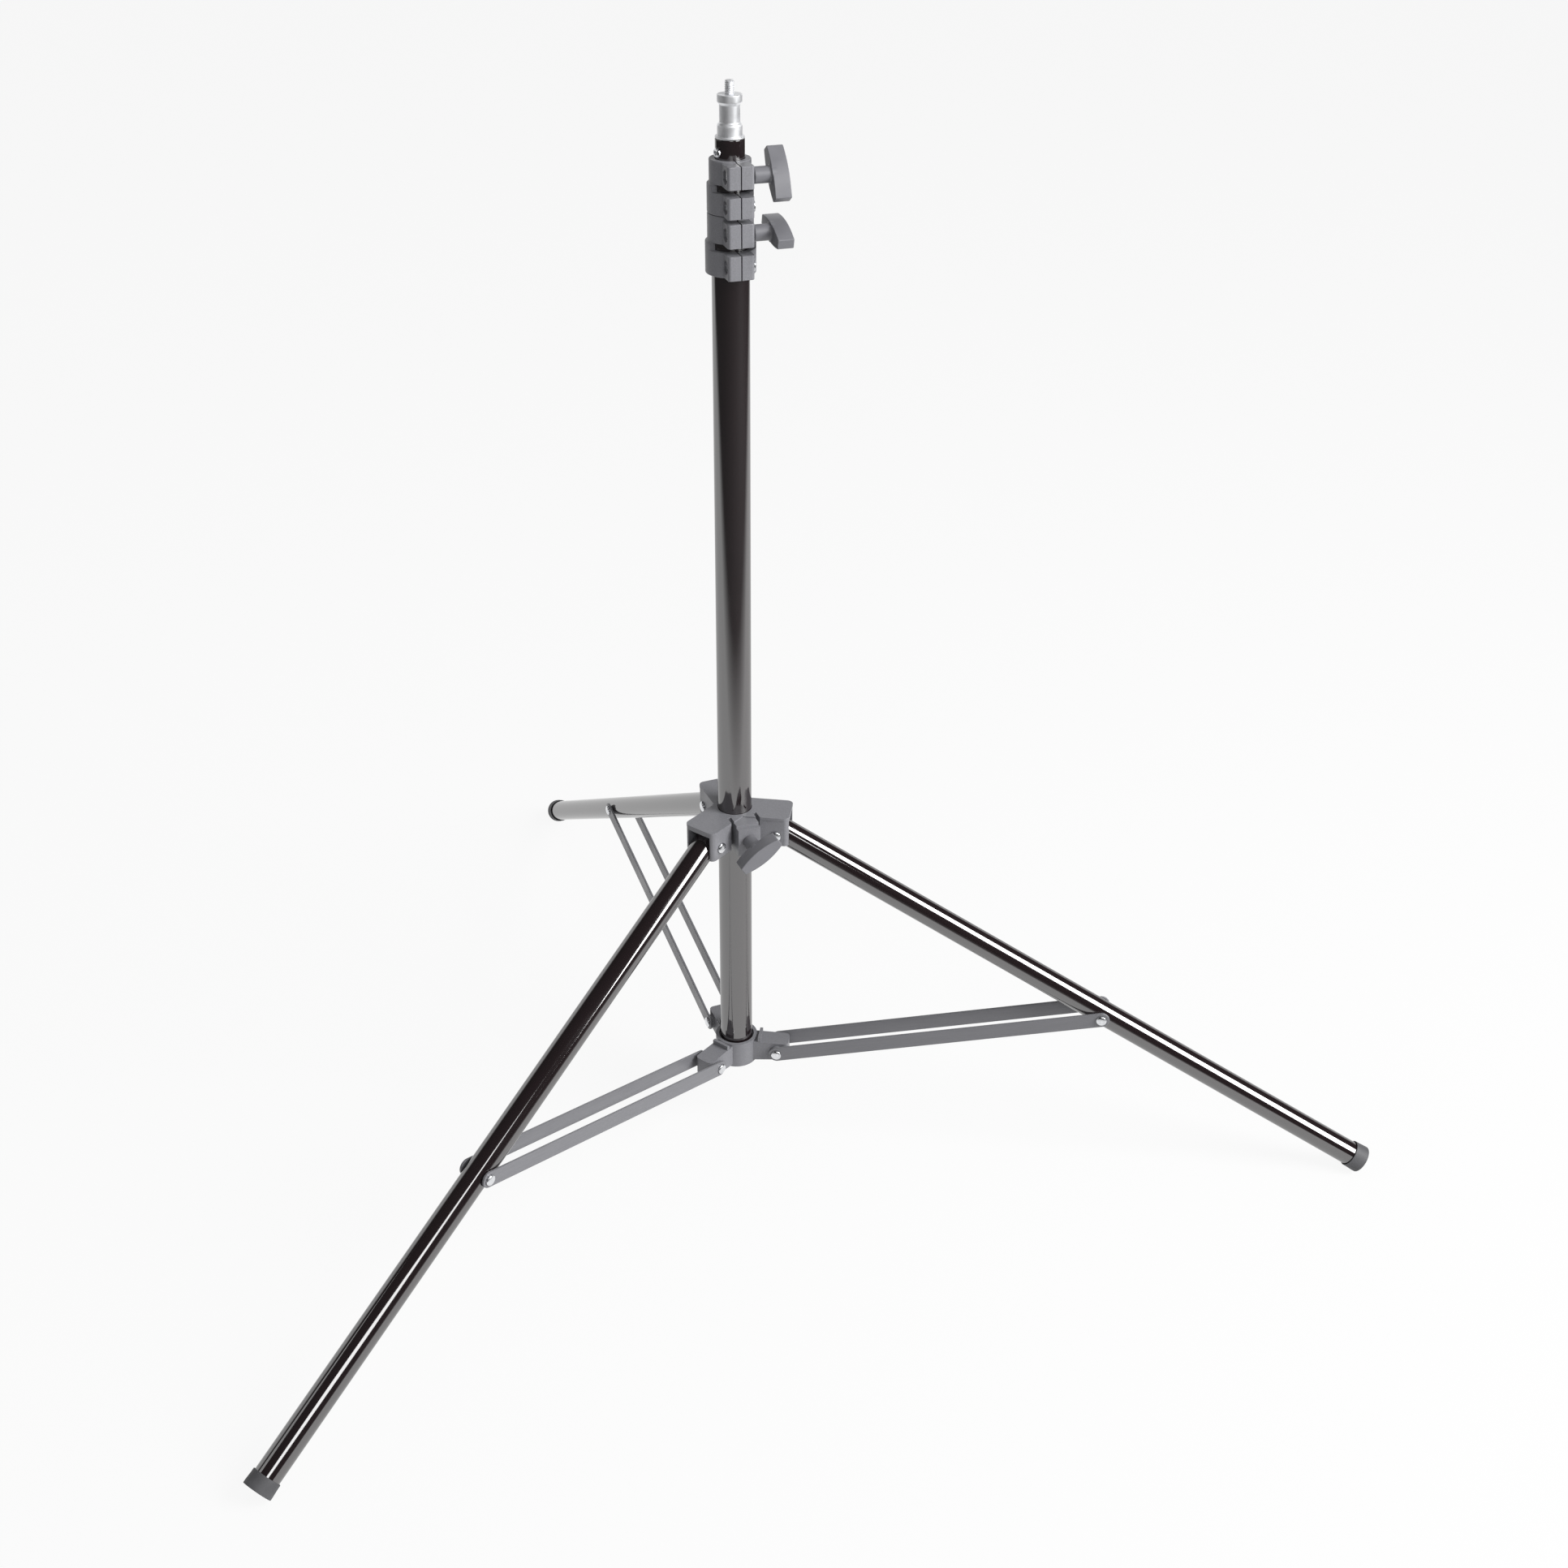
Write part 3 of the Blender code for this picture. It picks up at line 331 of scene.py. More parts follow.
def block(low, high, corner=0.0):
    """A block between two corners, its two upright edges at the +X end rounded."""
    bm = bmesh.new()
    bmesh.ops.create_cube(bm, size=1.0)
    low, high = Vector(low), Vector(high)
    bmesh.ops.scale(bm, vec=high - low, verts=bm.verts)
    bmesh.ops.translate(bm, vec=(low + high) / 2, verts=bm.verts)
    if corner:
        front = [edge for edge in bm.edges
                 if all(vert.co.x > (low.x + high.x) / 2 for vert in edge.verts)
                 and abs(edge.verts[0].co.z - edge.verts[1].co.z) > 1e-6]
        rounded(bm, front, corner, CORNER_STEPS)
    return bm


def sloped_below(bm, low, rise, reach):
    """Cut the underside off along a slope that rises toward +X."""
    whole = bm.verts[:] + bm.edges[:] + bm.faces[:]
    slope = Vector((-rise, 0.0, reach)).normalized()
    cut = bmesh.ops.bisect_plane(
        bm, geom=whole, dist=1e-7, plane_co=(0.0, 0.0, low), plane_no=slope, clear_inner=True
    )["geom_cut"]
    rim = [item for item in cut if isinstance(item, bmesh.types.BMEdge)]
    bmesh.ops.edgeloop_fill(bm, edges=rim)
    bmesh.ops.recalc_face_normals(bm, faces=bm.faces)
    return bm


def cylinder(radius, low, high, steps=96):
    """A cylinder on Z between two heights."""
    return spun([(0.0, low), (radius, low), (radius, high), (0.0, high)], steps)


STIPPLE_DEPTH = 0.05 * MM
WAVE_DEPTH = 0.06 * MM


def powder_coated(name, colour, roughness):
    """Powder coat: a fine stipple, soft clouds in the gloss and brighter high spots."""
    material, shader = finish(name, colour, roughness)
    even = object_space(material)
    clouds = noise(material, even, 45.0, 4.0)
    grain = noise(material, even, 1500.0, 2.0)
    feed(material, shader.inputs["Roughness"],
         ranged(material, clouds, (0.3, 0.7), (roughness - 0.07, roughness + 0.07)))
    deeper = tuple(c * 0.82 for c in colour)
    feed(material, shader.inputs["Base Color"],
         tinted(material, ranged(material, grain, (0.3, 0.65), (0.0, 1.0)), deeper, colour))
    stipple = bumped(material, grain, STIPPLE_DEPTH, 0.35)
    waves = noise(material, even, 160.0, 2.0)
    feed(material, shader.inputs["Normal"], bumped(material, waves, WAVE_DEPTH, 0.3, stipple))
    return material


LEGS = ("a", "b", "c")
joints = {joint["name"]: joint for joint in frame["joints"]}


def bearing_of(point):
    """The bearing of a point about the column's axis."""
    offset = Vector(point) - COLUMN
    return atan2(offset.y, offset.x)


def reach_of(point):
    """The level distance of a point from the column's axis."""
    return (Vector(point) - COLUMN).to_2d().length


BEARINGS = {leg: bearing_of(joints["leg_" + leg + "_hinge"]["pos_m"]) for leg in LEGS}
CASTING = powder_coated("powder_grey", colour=(0.215, 0.215, 0.232), roughness=0.42)
Z_TO_Y = Matrix.Rotation(radians(-90.0), 4, "X")

SLIP = 0.3 * MM
PIN = 2.5 * MM
OVERRUN = 1.0 * MM
CASTING_EDGE = 0.5 * MM
TUBE_RADIUS = half_width("base_tube")
RING_WALL = 3.6 * MM
LOWER_RING = TUBE_RADIUS + SLIP + RING_WALL
RIM_STEP = 1.0 * MM
RIM_DEPTH = 3.0 * MM
BRACE_INNER, BRACE_OUTER = sorted(abs(corner.x - COLUMN.x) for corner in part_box("brace_c_left"))
BOSS_HALF = BRACE_INNER - SLIP
BOSS_RADIUS = 5.5 * MM
ARM_HALF = 7.7 * MM
ARM_REACH = 42.3 * MM
ARM_CORNER = 3.5 * MM
ARM_DROP = 2.2 * MM
ARM_ROOT_RISE = 0.4 * MM
ARM_END_RISE = 4.5 * MM
RIB_AT = 18.2 * MM
RIB_THICKNESS = 2.4 * MM
RIB_HEIGHT = 3.6 * MM
RIB_HALF = 7.3 * MM


def lower_collar():
    """The collar: a ring, and for each leg an arm, a rib and a bored boss, then the bore."""
    low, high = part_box("lower_collar")
    bottom = low.z
    arm_top = high.z - RIB_HEIGHT
    top = arm_top + ARM_DROP
    solid = cylinder(LOWER_RING, bottom, top)
    for leg, bearing in BEARINGS.items():
        turn = Matrix.Rotation(bearing, 4, "Z")
        arm = block((0.0, -ARM_HALF, bottom), (ARM_REACH, ARM_HALF, arm_top), ARM_CORNER)
        arm = sloped_below(arm, bottom + ARM_ROOT_RISE, ARM_END_RISE, ARM_REACH)
        rib = block((RIB_AT, -RIB_HALF, arm_top - OVERRUN),
                    (RIB_AT + RIB_THICKNESS, RIB_HALF, high.z))
        pivot = Vector(joints["braces_" + leg + "_hinge"]["pos_m"])
        cross = Matrix.Translation((reach_of(pivot), 0.0, pivot.z)) @ Z_TO_Y
        boss = placed(cylinder(BOSS_RADIUS, -BOSS_HALF, BOSS_HALF, PIN_STEPS), cross)
        drill = cylinder(PIN + SLIP, -BOSS_HALF - OVERRUN, BOSS_HALF + OVERRUN, HOLE_STEPS)
        hole = placed(drill, cross)
        solid = combined(solid, "UNION", placed(arm, turn), placed(rib, turn), placed(boss, turn))
        solid = combined(solid, "DIFFERENCE", placed(hole, turn))
    bore = TUBE_RADIUS + SLIP
    section = [(0.0, bottom - OVERRUN), (bore, bottom - OVERRUN), (bore, top - RIM_DEPTH),
               (bore + RIM_STEP, top - RIM_DEPTH), (bore + RIM_STEP, top + OVERRUN),
               (0.0, top + OVERRUN)]
    solid = eased(combined(solid, "DIFFERENCE", spun(section)), CASTING_EDGE)
    dressed("lower_collar_coated", placed(solid, AT_COLUMN), CASTING, "column", "casting_grey",
            "lower_collar")


lower_collar()


# Rivets of the lower collar
# Each zinc-plated rivet crosses an arm and the lower ends of its two braces. It is turned with a
# domed head and a rolled washer edge at each end, and lies square to its leg.

SCUFF_DEPTH = 0.02 * MM


def plated(name, colour, roughness):
    """Bright plated steel with fine scuffs."""
    material, shader = finish(name, colour, roughness, 1.0)
    even = object_space(material)
    scuffs = noise(material, even, 420.0, 4.0)
    feed(material, shader.inputs["Roughness"],
         ranged(material, scuffs, (0.3, 0.75), (roughness - 0.06, roughness + 0.14)))
    duller = tuple(c * 0.86 for c in colour)
    feed(material, shader.inputs["Base Color"],
         tinted(material, ranged(material, scuffs, (0.35, 0.6), (0.0, 1.0)), colour, duller))
    feed(material, shader.inputs["Normal"], bumped(material, scuffs, SCUFF_DEPTH, 0.25))
    return material


ZINC = plated("zinc_plate", colour=(0.80, 0.81, 0.83), roughness=0.22)
HEAD = 4.0 * MM
HEAD_HEIGHT = 1.8 * MM
LIP_SHARE = 0.3
DOME_STEPS = 8


def quarter(steps):
    """Angles over a quarter turn."""
    return [pi / 2 * i / steps for i in range(steps + 1)]


def head_section(base, radius=HEAD, height=HEAD_HEIGHT, pin=PIN):
    """A domed head's section, from the pin outward and up over the dome."""
    lip = height * LIP_SHARE
    dome = [(radius * cos(angle), base + lip + (height - lip) * sin(angle))
            for angle in quarter(DOME_STEPS)]
    return [(pin, base), (radius, base)] + dome[:-1] + [(0.0, dome[-1][1])]


def double_rivet(half):
    """A pin along Z with a head at each end of its grip."""
    upper = head_section(half)
    return spun([(radius, -z) for radius, z in reversed(upper)] + upper, PIN_STEPS)


def across(point, bearing):
    """Turns +Z to lie level across a leg's plane, at a point."""
    return Matrix.Translation(Vector(point)) @ Matrix.Rotation(bearing, 4, "Z") @ Z_TO_Y


for leg in LEGS:
    rivet = placed(double_rivet(BRACE_OUTER + SLIP),
                   across(joints["braces_" + leg + "_hinge"]["pos_m"], BEARINGS[leg]))
    dressed("lower_collar_rivet_" + leg + "_plated", rivet, ZINC, "column", "zinc",
            "lower_collar_rivet_" + leg)


# Split clamps
# Each is one casting in powder coat: a lower jaw bolted round its own tube and an upper jaw, split
# off by a slot, that grips the next one. A ring and a pair of ears are welded, bored and slotted.

CLAMP_WALL = 3.7 * MM
CLAMP_EDGE = 0.7 * MM
CUT_EDGE = 0.25 * MM
EAR_PAST_SCREW = 6.1 * MM
EAR_CORNER = 2.0 * MM
EAR_LOW_INSET = 0.4 * MM
EAR_TOP_INSET = {"lower": 2.3 * MM, "upper": 0.4 * MM}
EAR_SPLIT = 0.8 * MM
JAW_SLOT = 5.0 * MM
SLOT_PAST_TUBE = 0.7 * MM
SLOT_BACK = 5.0 * MM
NUT_ACROSS = 8.0 * MM
NUT_RECESS = 1.2 * MM
NUT_THICKNESS = 4.0 * MM
BOLT_HEAD = 3.9 * MM
BOLT_HEAD_RECESS = 2.5 * MM


def turned_to(x, y, z):
    """The turn that lays the axes along three directions."""
    return Matrix((x, y, z)).transposed().to_4x4()


def clamp_axes(which):
    """A clamp's space, with +Y along its knob's screw and +Z up, and the screw's place in it."""
    joint = joints[which + "_knob_turn"]
    y = Vector(joint["axis"])
    x = Vector((y.y, -y.x, 0.0))
    space = AT_COLUMN @ turned_to(x, y, (0.0, 0.0, 1.0))
    return space, space.inverted() @ Vector(joint["pos_m"])


def hexagon(across_flats, low, high):
    """A hexagonal prism with flats that face +X and -X."""
    bm = bmesh.new()
    bmesh.ops.create_cone(
        bm, cap_ends=True, segments=6, radius1=across_flats / sqrt(3.0),
        radius2=across_flats / sqrt(3.0), depth=high - low
    )
    turn = 0.0 if abs(bm.verts[:][0].co.x) < 1e-6 else radians(30.0)
    bm.transform(Matrix.Translation((0.0, 0.0, (low + high) / 2)) @ Matrix.Rotation(turn, 4, "Z"))
    return bm


def clamp(which, own_tube, held_tube, body):
    """A clamp on the end of its own tube, for the tube that slides in it."""
    space, screw = clamp_axes(which)
    half = screw.y
    bottom, top = (corner.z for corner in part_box(which + "_clamp"))
    seat = half_width(own_tube) + SLIP
    grip = half_width(held_tube) + SLIP
    tube_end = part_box(own_tube)[1].z
    step = tube_end + SLIP
    reach = screw.x + EAR_PAST_SCREW
    section = [(0.0, bottom), (seat + CLAMP_WALL, bottom), (seat + CLAMP_WALL, step),
               (grip + CLAMP_WALL, step), (grip + CLAMP_WALL, top), (0.0, top)]
    solid = eased(spun(section), CLAMP_EDGE)
    ears = block((0.0, -half, bottom + EAR_LOW_INSET), (reach, half, top - EAR_TOP_INSET[which]),
                 EAR_CORNER)
    solid = combined(solid, "UNION", eased(ears, CASTING_EDGE))
    bore = spun([(0.0, bottom - OVERRUN), (seat, bottom - OVERRUN), (seat, step), (grip, step),
                 (grip, top + OVERRUN), (0.0, top + OVERRUN)])
    split = block((0.0, -EAR_SPLIT / 2, bottom - OVERRUN),
                  (reach + OVERRUN, EAR_SPLIT / 2, top + OVERRUN))
    slot_top = tube_end + SLOT_PAST_TUBE
    wide = seat + CLAMP_WALL + OVERRUN
    slot = block((SLOT_BACK, -wide, slot_top - JAW_SLOT), (reach + OVERRUN, wide, slot_top))
    solid = combined(solid, "DIFFERENCE", bore, split, slot)
    heights = (middle(which + "_clamp_seat_nut").z, screw.z)
    floor = -half + NUT_RECESS + NUT_THICKNESS + SLIP
    for height in heights:
        at_screw = Matrix.Translation((screw.x, 0.0, height)) @ Z_TO_Y
        pocket = placed(hexagon(NUT_ACROSS + 2 * SLIP, -half - OVERRUN, floor), at_screw)
        solid = combined(solid, "DIFFERENCE", pocket)
        drill = cylinder(PIN + SLIP, -half + OVERRUN, half + OVERRUN, HOLE_STEPS)
        solid = combined(solid, "DIFFERENCE", placed(drill, at_screw))
    at_bolt = Matrix.Translation((screw.x, 0.0, heights[0])) @ Z_TO_Y
    counterbore = cylinder(BOLT_HEAD + SLIP, half - BOLT_HEAD_RECESS, half + OVERRUN, PIN_STEPS)
    solid = combined(solid, "DIFFERENCE", placed(counterbore, at_bolt))
    solid = eased(solid, CUT_EDGE, segments=2, sharp=40.0)
    dressed(which + "_clamp_coated", placed(solid, space), CASTING, body, "casting_grey",
            which + "_clamp")


clamp("lower", "base_tube", "middle_tube", "column")
clamp("upper", "middle_tube", "top_tube", "middle_section")


# Clamp bolts and nuts
# Zinc-plated M5 hardware. A socket bolt, its head in a counterbore, closes each lower jaw in a nut
# that lies in a pocket of the ear, and a second nut takes the stud of the T-knob.

BOLT_HEAD_HEIGHT = 3.3 * MM
SOCKET_ACROSS = 4.0 * MM
SOCKET_DEPTH = 2.0 * MM
HARDWARE_EDGE = 0.35 * MM


def clamp_hardware(which, body):
    """A clamp's two nuts and its bolt, on the axes of its screws."""
    space, screw = clamp_axes(which)
    half = screw.y
    seat_height = middle(which + "_clamp_seat_nut").z
    outer = -half + NUT_RECESS
    for name, height in (("seat", seat_height), ("grip", screw.z)):
        at_screw = space @ Matrix.Translation((screw.x, 0.0, height)) @ Z_TO_Y
        nut = eased(hexagon(NUT_ACROSS, outer, outer + NUT_THICKNESS), HARDWARE_EDGE, segments=2)
        bore = cylinder(PIN + SLIP, outer - OVERRUN, outer + NUT_THICKNESS + OVERRUN, HOLE_STEPS)
        node = which + "_clamp_" + name + "_nut"
        dressed(node + "_plated", placed(combined(nut, "DIFFERENCE", bore), at_screw), ZINC, body,
                "zinc", node)
    at_bolt = space @ Matrix.Translation((screw.x, 0.0, seat_height)) @ Z_TO_Y
    seat = half - BOLT_HEAD_RECESS + SLIP
    crown = seat + BOLT_HEAD_HEIGHT
    section = [(0.0, outer), (PIN, outer), (PIN, seat), (BOLT_HEAD, seat), (BOLT_HEAD, crown),
               (0.0, crown)]
    bolt = eased(spun(section, PIN_STEPS), HARDWARE_EDGE)
    socket = hexagon(SOCKET_ACROSS, crown - SOCKET_DEPTH, crown + OVERRUN)
    node = which + "_clamp_seat_bolt"
    dressed(node + "_plated", placed(combined(bolt, "DIFFERENCE", socket), at_bolt), ZINC, body,
            "zinc", node)


clamp_hardware("lower", "column")
clamp_hardware("upper", "middle_section")


# T-knobs
# Moulded in grey glass-filled nylon round a steel stud: a round shank that flares into a crossbar,
# lens-shaped from the end, with its long edges just broken.

KNOB_GREY = moulded("knob_nylon", colour=(0.160, 0.160, 0.174), roughness=0.40, grain=1100.0)
SHANK = 5.3 * MM
SHANK_EDGE = 0.5 * MM
SHANK_IN_BAR = 3.0 * MM
SHANK_STEPS = 64
FLARE_OUT = 1.2 * MM
FLARE_UP = 1.6 * MM
FLARE_STEPS = 5
STUD_BORE = 12.3 * MM
BAR_LENGTH = 34.5 * MM
BAR_WIDTH = 12.4 * MM
BAR_END = 6.1 * MM
BAR_DEPTH = 11.0 * MM
BAR_EDGE = 0.55 * MM
BAR_STATIONS = 24


def prism(outline, rise):
    """A solid that is raised from a flat outline."""
    bm = bmesh.new()
    face = bm.faces.new([bm.verts.new(point) for point in outline])
    raised = bmesh.ops.extrude_face_region(bm, geom=[face])["geom"]
    far_end = [item for item in raised if isinstance(item, bmesh.types.BMVert)]
    bmesh.ops.translate(bm, vec=rise, verts=far_end)
    bmesh.ops.recalc_face_normals(bm, faces=bm.faces)
    return bm


def knob(node, joint, bar_direction, shank_length, body):
    """A T-knob on its joint's axis, with its crossbar along a direction."""
    half = BAR_LENGTH / 2
    side = []
    for i in range(BAR_STATIONS + 1):
        x = half * (2.0 * i / BAR_STATIONS - 1.0)
        side.append((x, -BAR_END / 2 - (BAR_WIDTH - BAR_END) / 2 * (1.0 - (x / half) ** 2)))
    lens = [(x, y, shank_length) for x, y in side + [(-x, -y) for x, y in side]]
    bar = eased(prism(lens, (0.0, 0.0, BAR_DEPTH)), BAR_EDGE)
    flare = [(SHANK + FLARE_OUT * (1.0 - cos(angle)),
              shank_length - FLARE_UP * (1.0 - sin(angle))) for angle in quarter(FLARE_STEPS)]
    end = shank_length + SHANK_IN_BAR
    section = [(0.0, SLIP), (SHANK - SHANK_EDGE, SLIP), (SHANK, SLIP + SHANK_EDGE)] + flare
    section += [(SHANK + FLARE_OUT, end), (0.0, end)]
    solid = combined(bar, "UNION", spun(section, SHANK_STEPS))
    bore = cylinder(PIN + SLIP, -OVERRUN, STUD_BORE, HOLE_STEPS)
    solid = combined(solid, "DIFFERENCE", bore)
    z = Vector(joint["axis"]).normalized()
    x = Vector(bar_direction).normalized()
    space = Matrix.Translation(Vector(joint["pos_m"])) @ turned_to(x, z.cross(x), z)
    dressed(node + "_moulded", placed(solid, space), KNOB_GREY, body, "knob_grey", node)


CLAMP_SHANK = 11.5 * MM
BAR_TURNS = {"lower": radians(76.0), "upper": radians(34.0)}
for which, turn in BAR_TURNS.items():
    joint = joints[which + "_knob_turn"]
    out = Vector((joint["axis"][1], -joint["axis"][0], 0.0))
    knob(which + "_knob", joint, out * sin(turn) - Vector((0.0, 0.0, cos(turn))), CLAMP_SHANK,
         which + "_knob")
refinished(ZINC, "lower_knob_stud", "upper_knob_stud", "collar_knob_stud")


# Middle and top tubes
# They slide one in the other inside the base tube, 22 and 19 mm across, in the same paint. The top
# tube carries the spigot and has a small hole for its screw.

column_tube("middle_tube", "middle_section")
column_tube("top_tube", "top_section")


# Spigot
# A nickel-plated steel pin for lamp heads: a foot flange, a 16 mm barrel, a waist for the fixing
# screw, a head, and a threaded stud on top. It is turned in one piece and its stud is then threaded.

RING_DEPTH = 0.01 * MM


def turned_nickel(name, colour, roughness):
    """Plated steel with the fine rings that turning leaves."""
    material, shader = finish(name, colour, roughness, 0.8)
    even = object_space(material)
    rings = noise(material, object_space(material, stretch=(0.002, 0.002, 1.0)), 9000.0, 2.0)
    clouds = noise(material, even, 140.0, 3.0)
    feed(material, shader.inputs["Roughness"],
         ranged(material, clouds, (0.3, 0.7), (roughness - 0.06, roughness + 0.10)))
    duller = tuple(c * 0.84 for c in colour)
    feed(material, shader.inputs["Base Color"], tinted(material, rings, colour, duller))
    feed(material, shader.inputs["Normal"], bumped(material, rings, RING_DEPTH, 0.25))
    return material


NICKEL = turned_nickel("turned_nickel", colour=(0.90, 0.91, 0.93), roughness=0.42)
SPIGOT_EDGE = 0.45 * MM
FLANGE_HEIGHT = 1.2 * MM
BARREL_RADIUS = 7.95 * MM
BARREL_HEIGHT = 8.2 * MM
WAIST_RADIUS = 6.6 * MM
WAIST_HEIGHT = 11.0 * MM
WAIST_SLOPE = 1.4 * MM
TOP_HEIGHT = 6.0 * MM
STUD_RADIUS = 3.15 * MM
STUD_PITCH = 1.27 * MM
THREAD_DEPTH = 0.62 * MM
RINGS_PER_TURN = 8
END_CHAMFER = 0.5 * MM
END_TAPER = 0.6 * MM


def threaded_stud(foot, end):
    """A stud from a hidden foot to its end, with a thread cut into its side."""
    count = int(RINGS_PER_TURN * (end - foot) / STUD_PITCH)
    rise = (end - foot + OVERRUN) / count
    side = [(STUD_RADIUS, foot - OVERRUN + rise * i) for i in range(count + 1)]
    stud = spun([(0.0, foot - OVERRUN)] + side + [(0.0, end)], SHANK_STEPS)
    for vert in stud.verts:
        radius = vert.co.to_2d().length
        if radius > STUD_RADIUS / 2:
            phase = (vert.co.z / STUD_PITCH + atan2(vert.co.y, vert.co.x) / tau) % 1.0
            depth = THREAD_DEPTH * abs(2.0 * phase - 1.0)
            depth += END_CHAMFER * max(0.0, 1.0 - (end - vert.co.z) / END_TAPER)
            vert.co.xy *= (radius - depth) / radius
    return stud


def spigot():
    """The spigot on the top tube's end, its shank inside the tube."""
    low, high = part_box("spigot")
    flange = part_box("top_tube")[1].z + SLIP
    outer = half_width("top_tube")
    shank = outer - WALL - SLIP
    barrel = flange + FLANGE_HEIGHT
    neck = barrel + BARREL_HEIGHT
    head = neck + WAIST_HEIGHT
    seat = head + TOP_HEIGHT
    section = [(0.0, low.z), (shank, low.z), (shank, flange), (outer, flange), (outer, barrel),
               (BARREL_RADIUS, barrel), (BARREL_RADIUS, neck - WAIST_SLOPE), (WAIST_RADIUS, neck),
               (WAIST_RADIUS, head), (BARREL_RADIUS, head + WAIST_SLOPE), (BARREL_RADIUS, seat),
               (0.0, seat)]
    solid = eased(spun(section), SPIGOT_EDGE, sharp=20.0)
    solid = combined(solid, "UNION", threaded_stud(seat, high.z))
    dressed("spigot_nickel", placed(solid, AT_COLUMN), NICKEL, "top_section", "spigot_nickel",
            "spigot")


spigot()


# Spigot screw
# A small zinc-plated screw through the top tube that holds the spigot in it, with a domed head and
# a cross recess.

SCREW_PIN = 1.5 * MM
SCREW_DEPTH = 4.7 * MM
SCREW_HEAD = 3.2 * MM
SCREW_HEAD_HEIGHT = 1.6 * MM
RECESS_REACH = 1.5 * MM
RECESS_HALF = 0.35 * MM
RECESS_FLOOR = 1.0 * MM
RECESS_TOP = 3.0 * MM


def spigot_screw():
    """The screw, turned about Z and then laid out from the column's axis."""
    centre = middle("spigot_screw")
    outer = half_width("top_tube")
    screw = spun([(0.0, outer - SCREW_DEPTH), (SCREW_PIN, outer - SCREW_DEPTH)]
                 + head_section(outer + SLIP, SCREW_HEAD, SCREW_HEAD_HEIGHT, SCREW_PIN), PIN_STEPS)
    recess = [block((-x, -y, outer + RECESS_FLOOR), (x, y, outer + RECESS_TOP))
              for x, y in ((RECESS_REACH, RECESS_HALF), (RECESS_HALF, RECESS_REACH))]
    solid = combined(screw, "DIFFERENCE", *recess)
    space = AT_COLUMN @ Matrix.Rotation(bearing_of(centre), 4, "Z")
    lay = Matrix.Translation((0.0, 0.0, centre.z)) @ Matrix.Rotation(radians(90.0), 4, "Y")
    dressed("spigot_screw_plated", placed(solid, space @ lay), ZINC, "top_section", "zinc",
            "spigot_screw")


spigot_screw()


# Leg collar
# The casting that slides on the base tube. A plate with a lip covers three hinge boxes, open below
# and outward. In front a stepped lug, freed by a notch each side, takes the collar's screw.

HINGE_REACH = reach_of(joints["leg_a_hinge"]["pos_m"])
HINGE_HEIGHT = joints["leg_a_hinge"]["pos_m"][2]
LEG_RADIUS = half_width("leg_tube_c")
LEG_TAIL = 5.5 * MM
LEG_ROOM = 0.5 * MM
BOX_INSIDE = LEG_RADIUS + LEG_ROOM
BOX_WALL = 3.3 * MM
BOX_BELOW_HINGE = 8.3 * MM
BOX_PAST_HINGE = 10.0 * MM
BOX_REACH = HINGE_REACH + BOX_PAST_HINGE
WALL_CORNER = 3.6 * MM
PLATE_CORNER = 4.6 * MM
PLATE_LIP = 0.4 * MM
PLATE_LIP_DEPTH = 2.2 * MM
PLATE_THICKNESS = 4.2 * MM
COLLAR_WALL = 4.2 * MM
COLLAR_RING = TUBE_RADIUS + SLIP + COLLAR_WALL
HUB_DROP = 0.8 * MM
LUG_ROOT = 4.0 * MM
LUG_REACH = reach_of(joints["collar_knob_turn"]["pos_m"])
LUG_HALF = 8.7 * MM
LUG_SPARE = 0.1 * MM
LUG_DROP = 3.2 * MM
LUG_STEP = 4.0 * MM
STEP_DROP = 1.2 * MM
STEP_FOOT = 5.0 * MM
NOTCH_FROM = 14.4 * MM
NOTCH_WIDTH = 2.6 * MM


def three_arms(half, reach, corner, low, high):
    """An upright prism with a round-cornered arm toward each leg."""
    outline = []
    for bearing in sorted(BEARINGS.values()):
        arm = [(half / tan(pi / 3), -half)]
        for side in (-1.0, 1.0):
            for i in range(CORNER_STEPS + 1):
                angle = pi / 2 * (i / CORNER_STEPS - (side < 0.0))
                arm.append((reach - corner + corner * cos(angle),
                            side * (half - corner) + corner * sin(angle)))
        turn = Matrix.Rotation(bearing, 3, "Z")
        outline += [turn @ Vector((x, y, low)) for x, y in arm]
    return prism(outline, (0.0, 0.0, high - low))


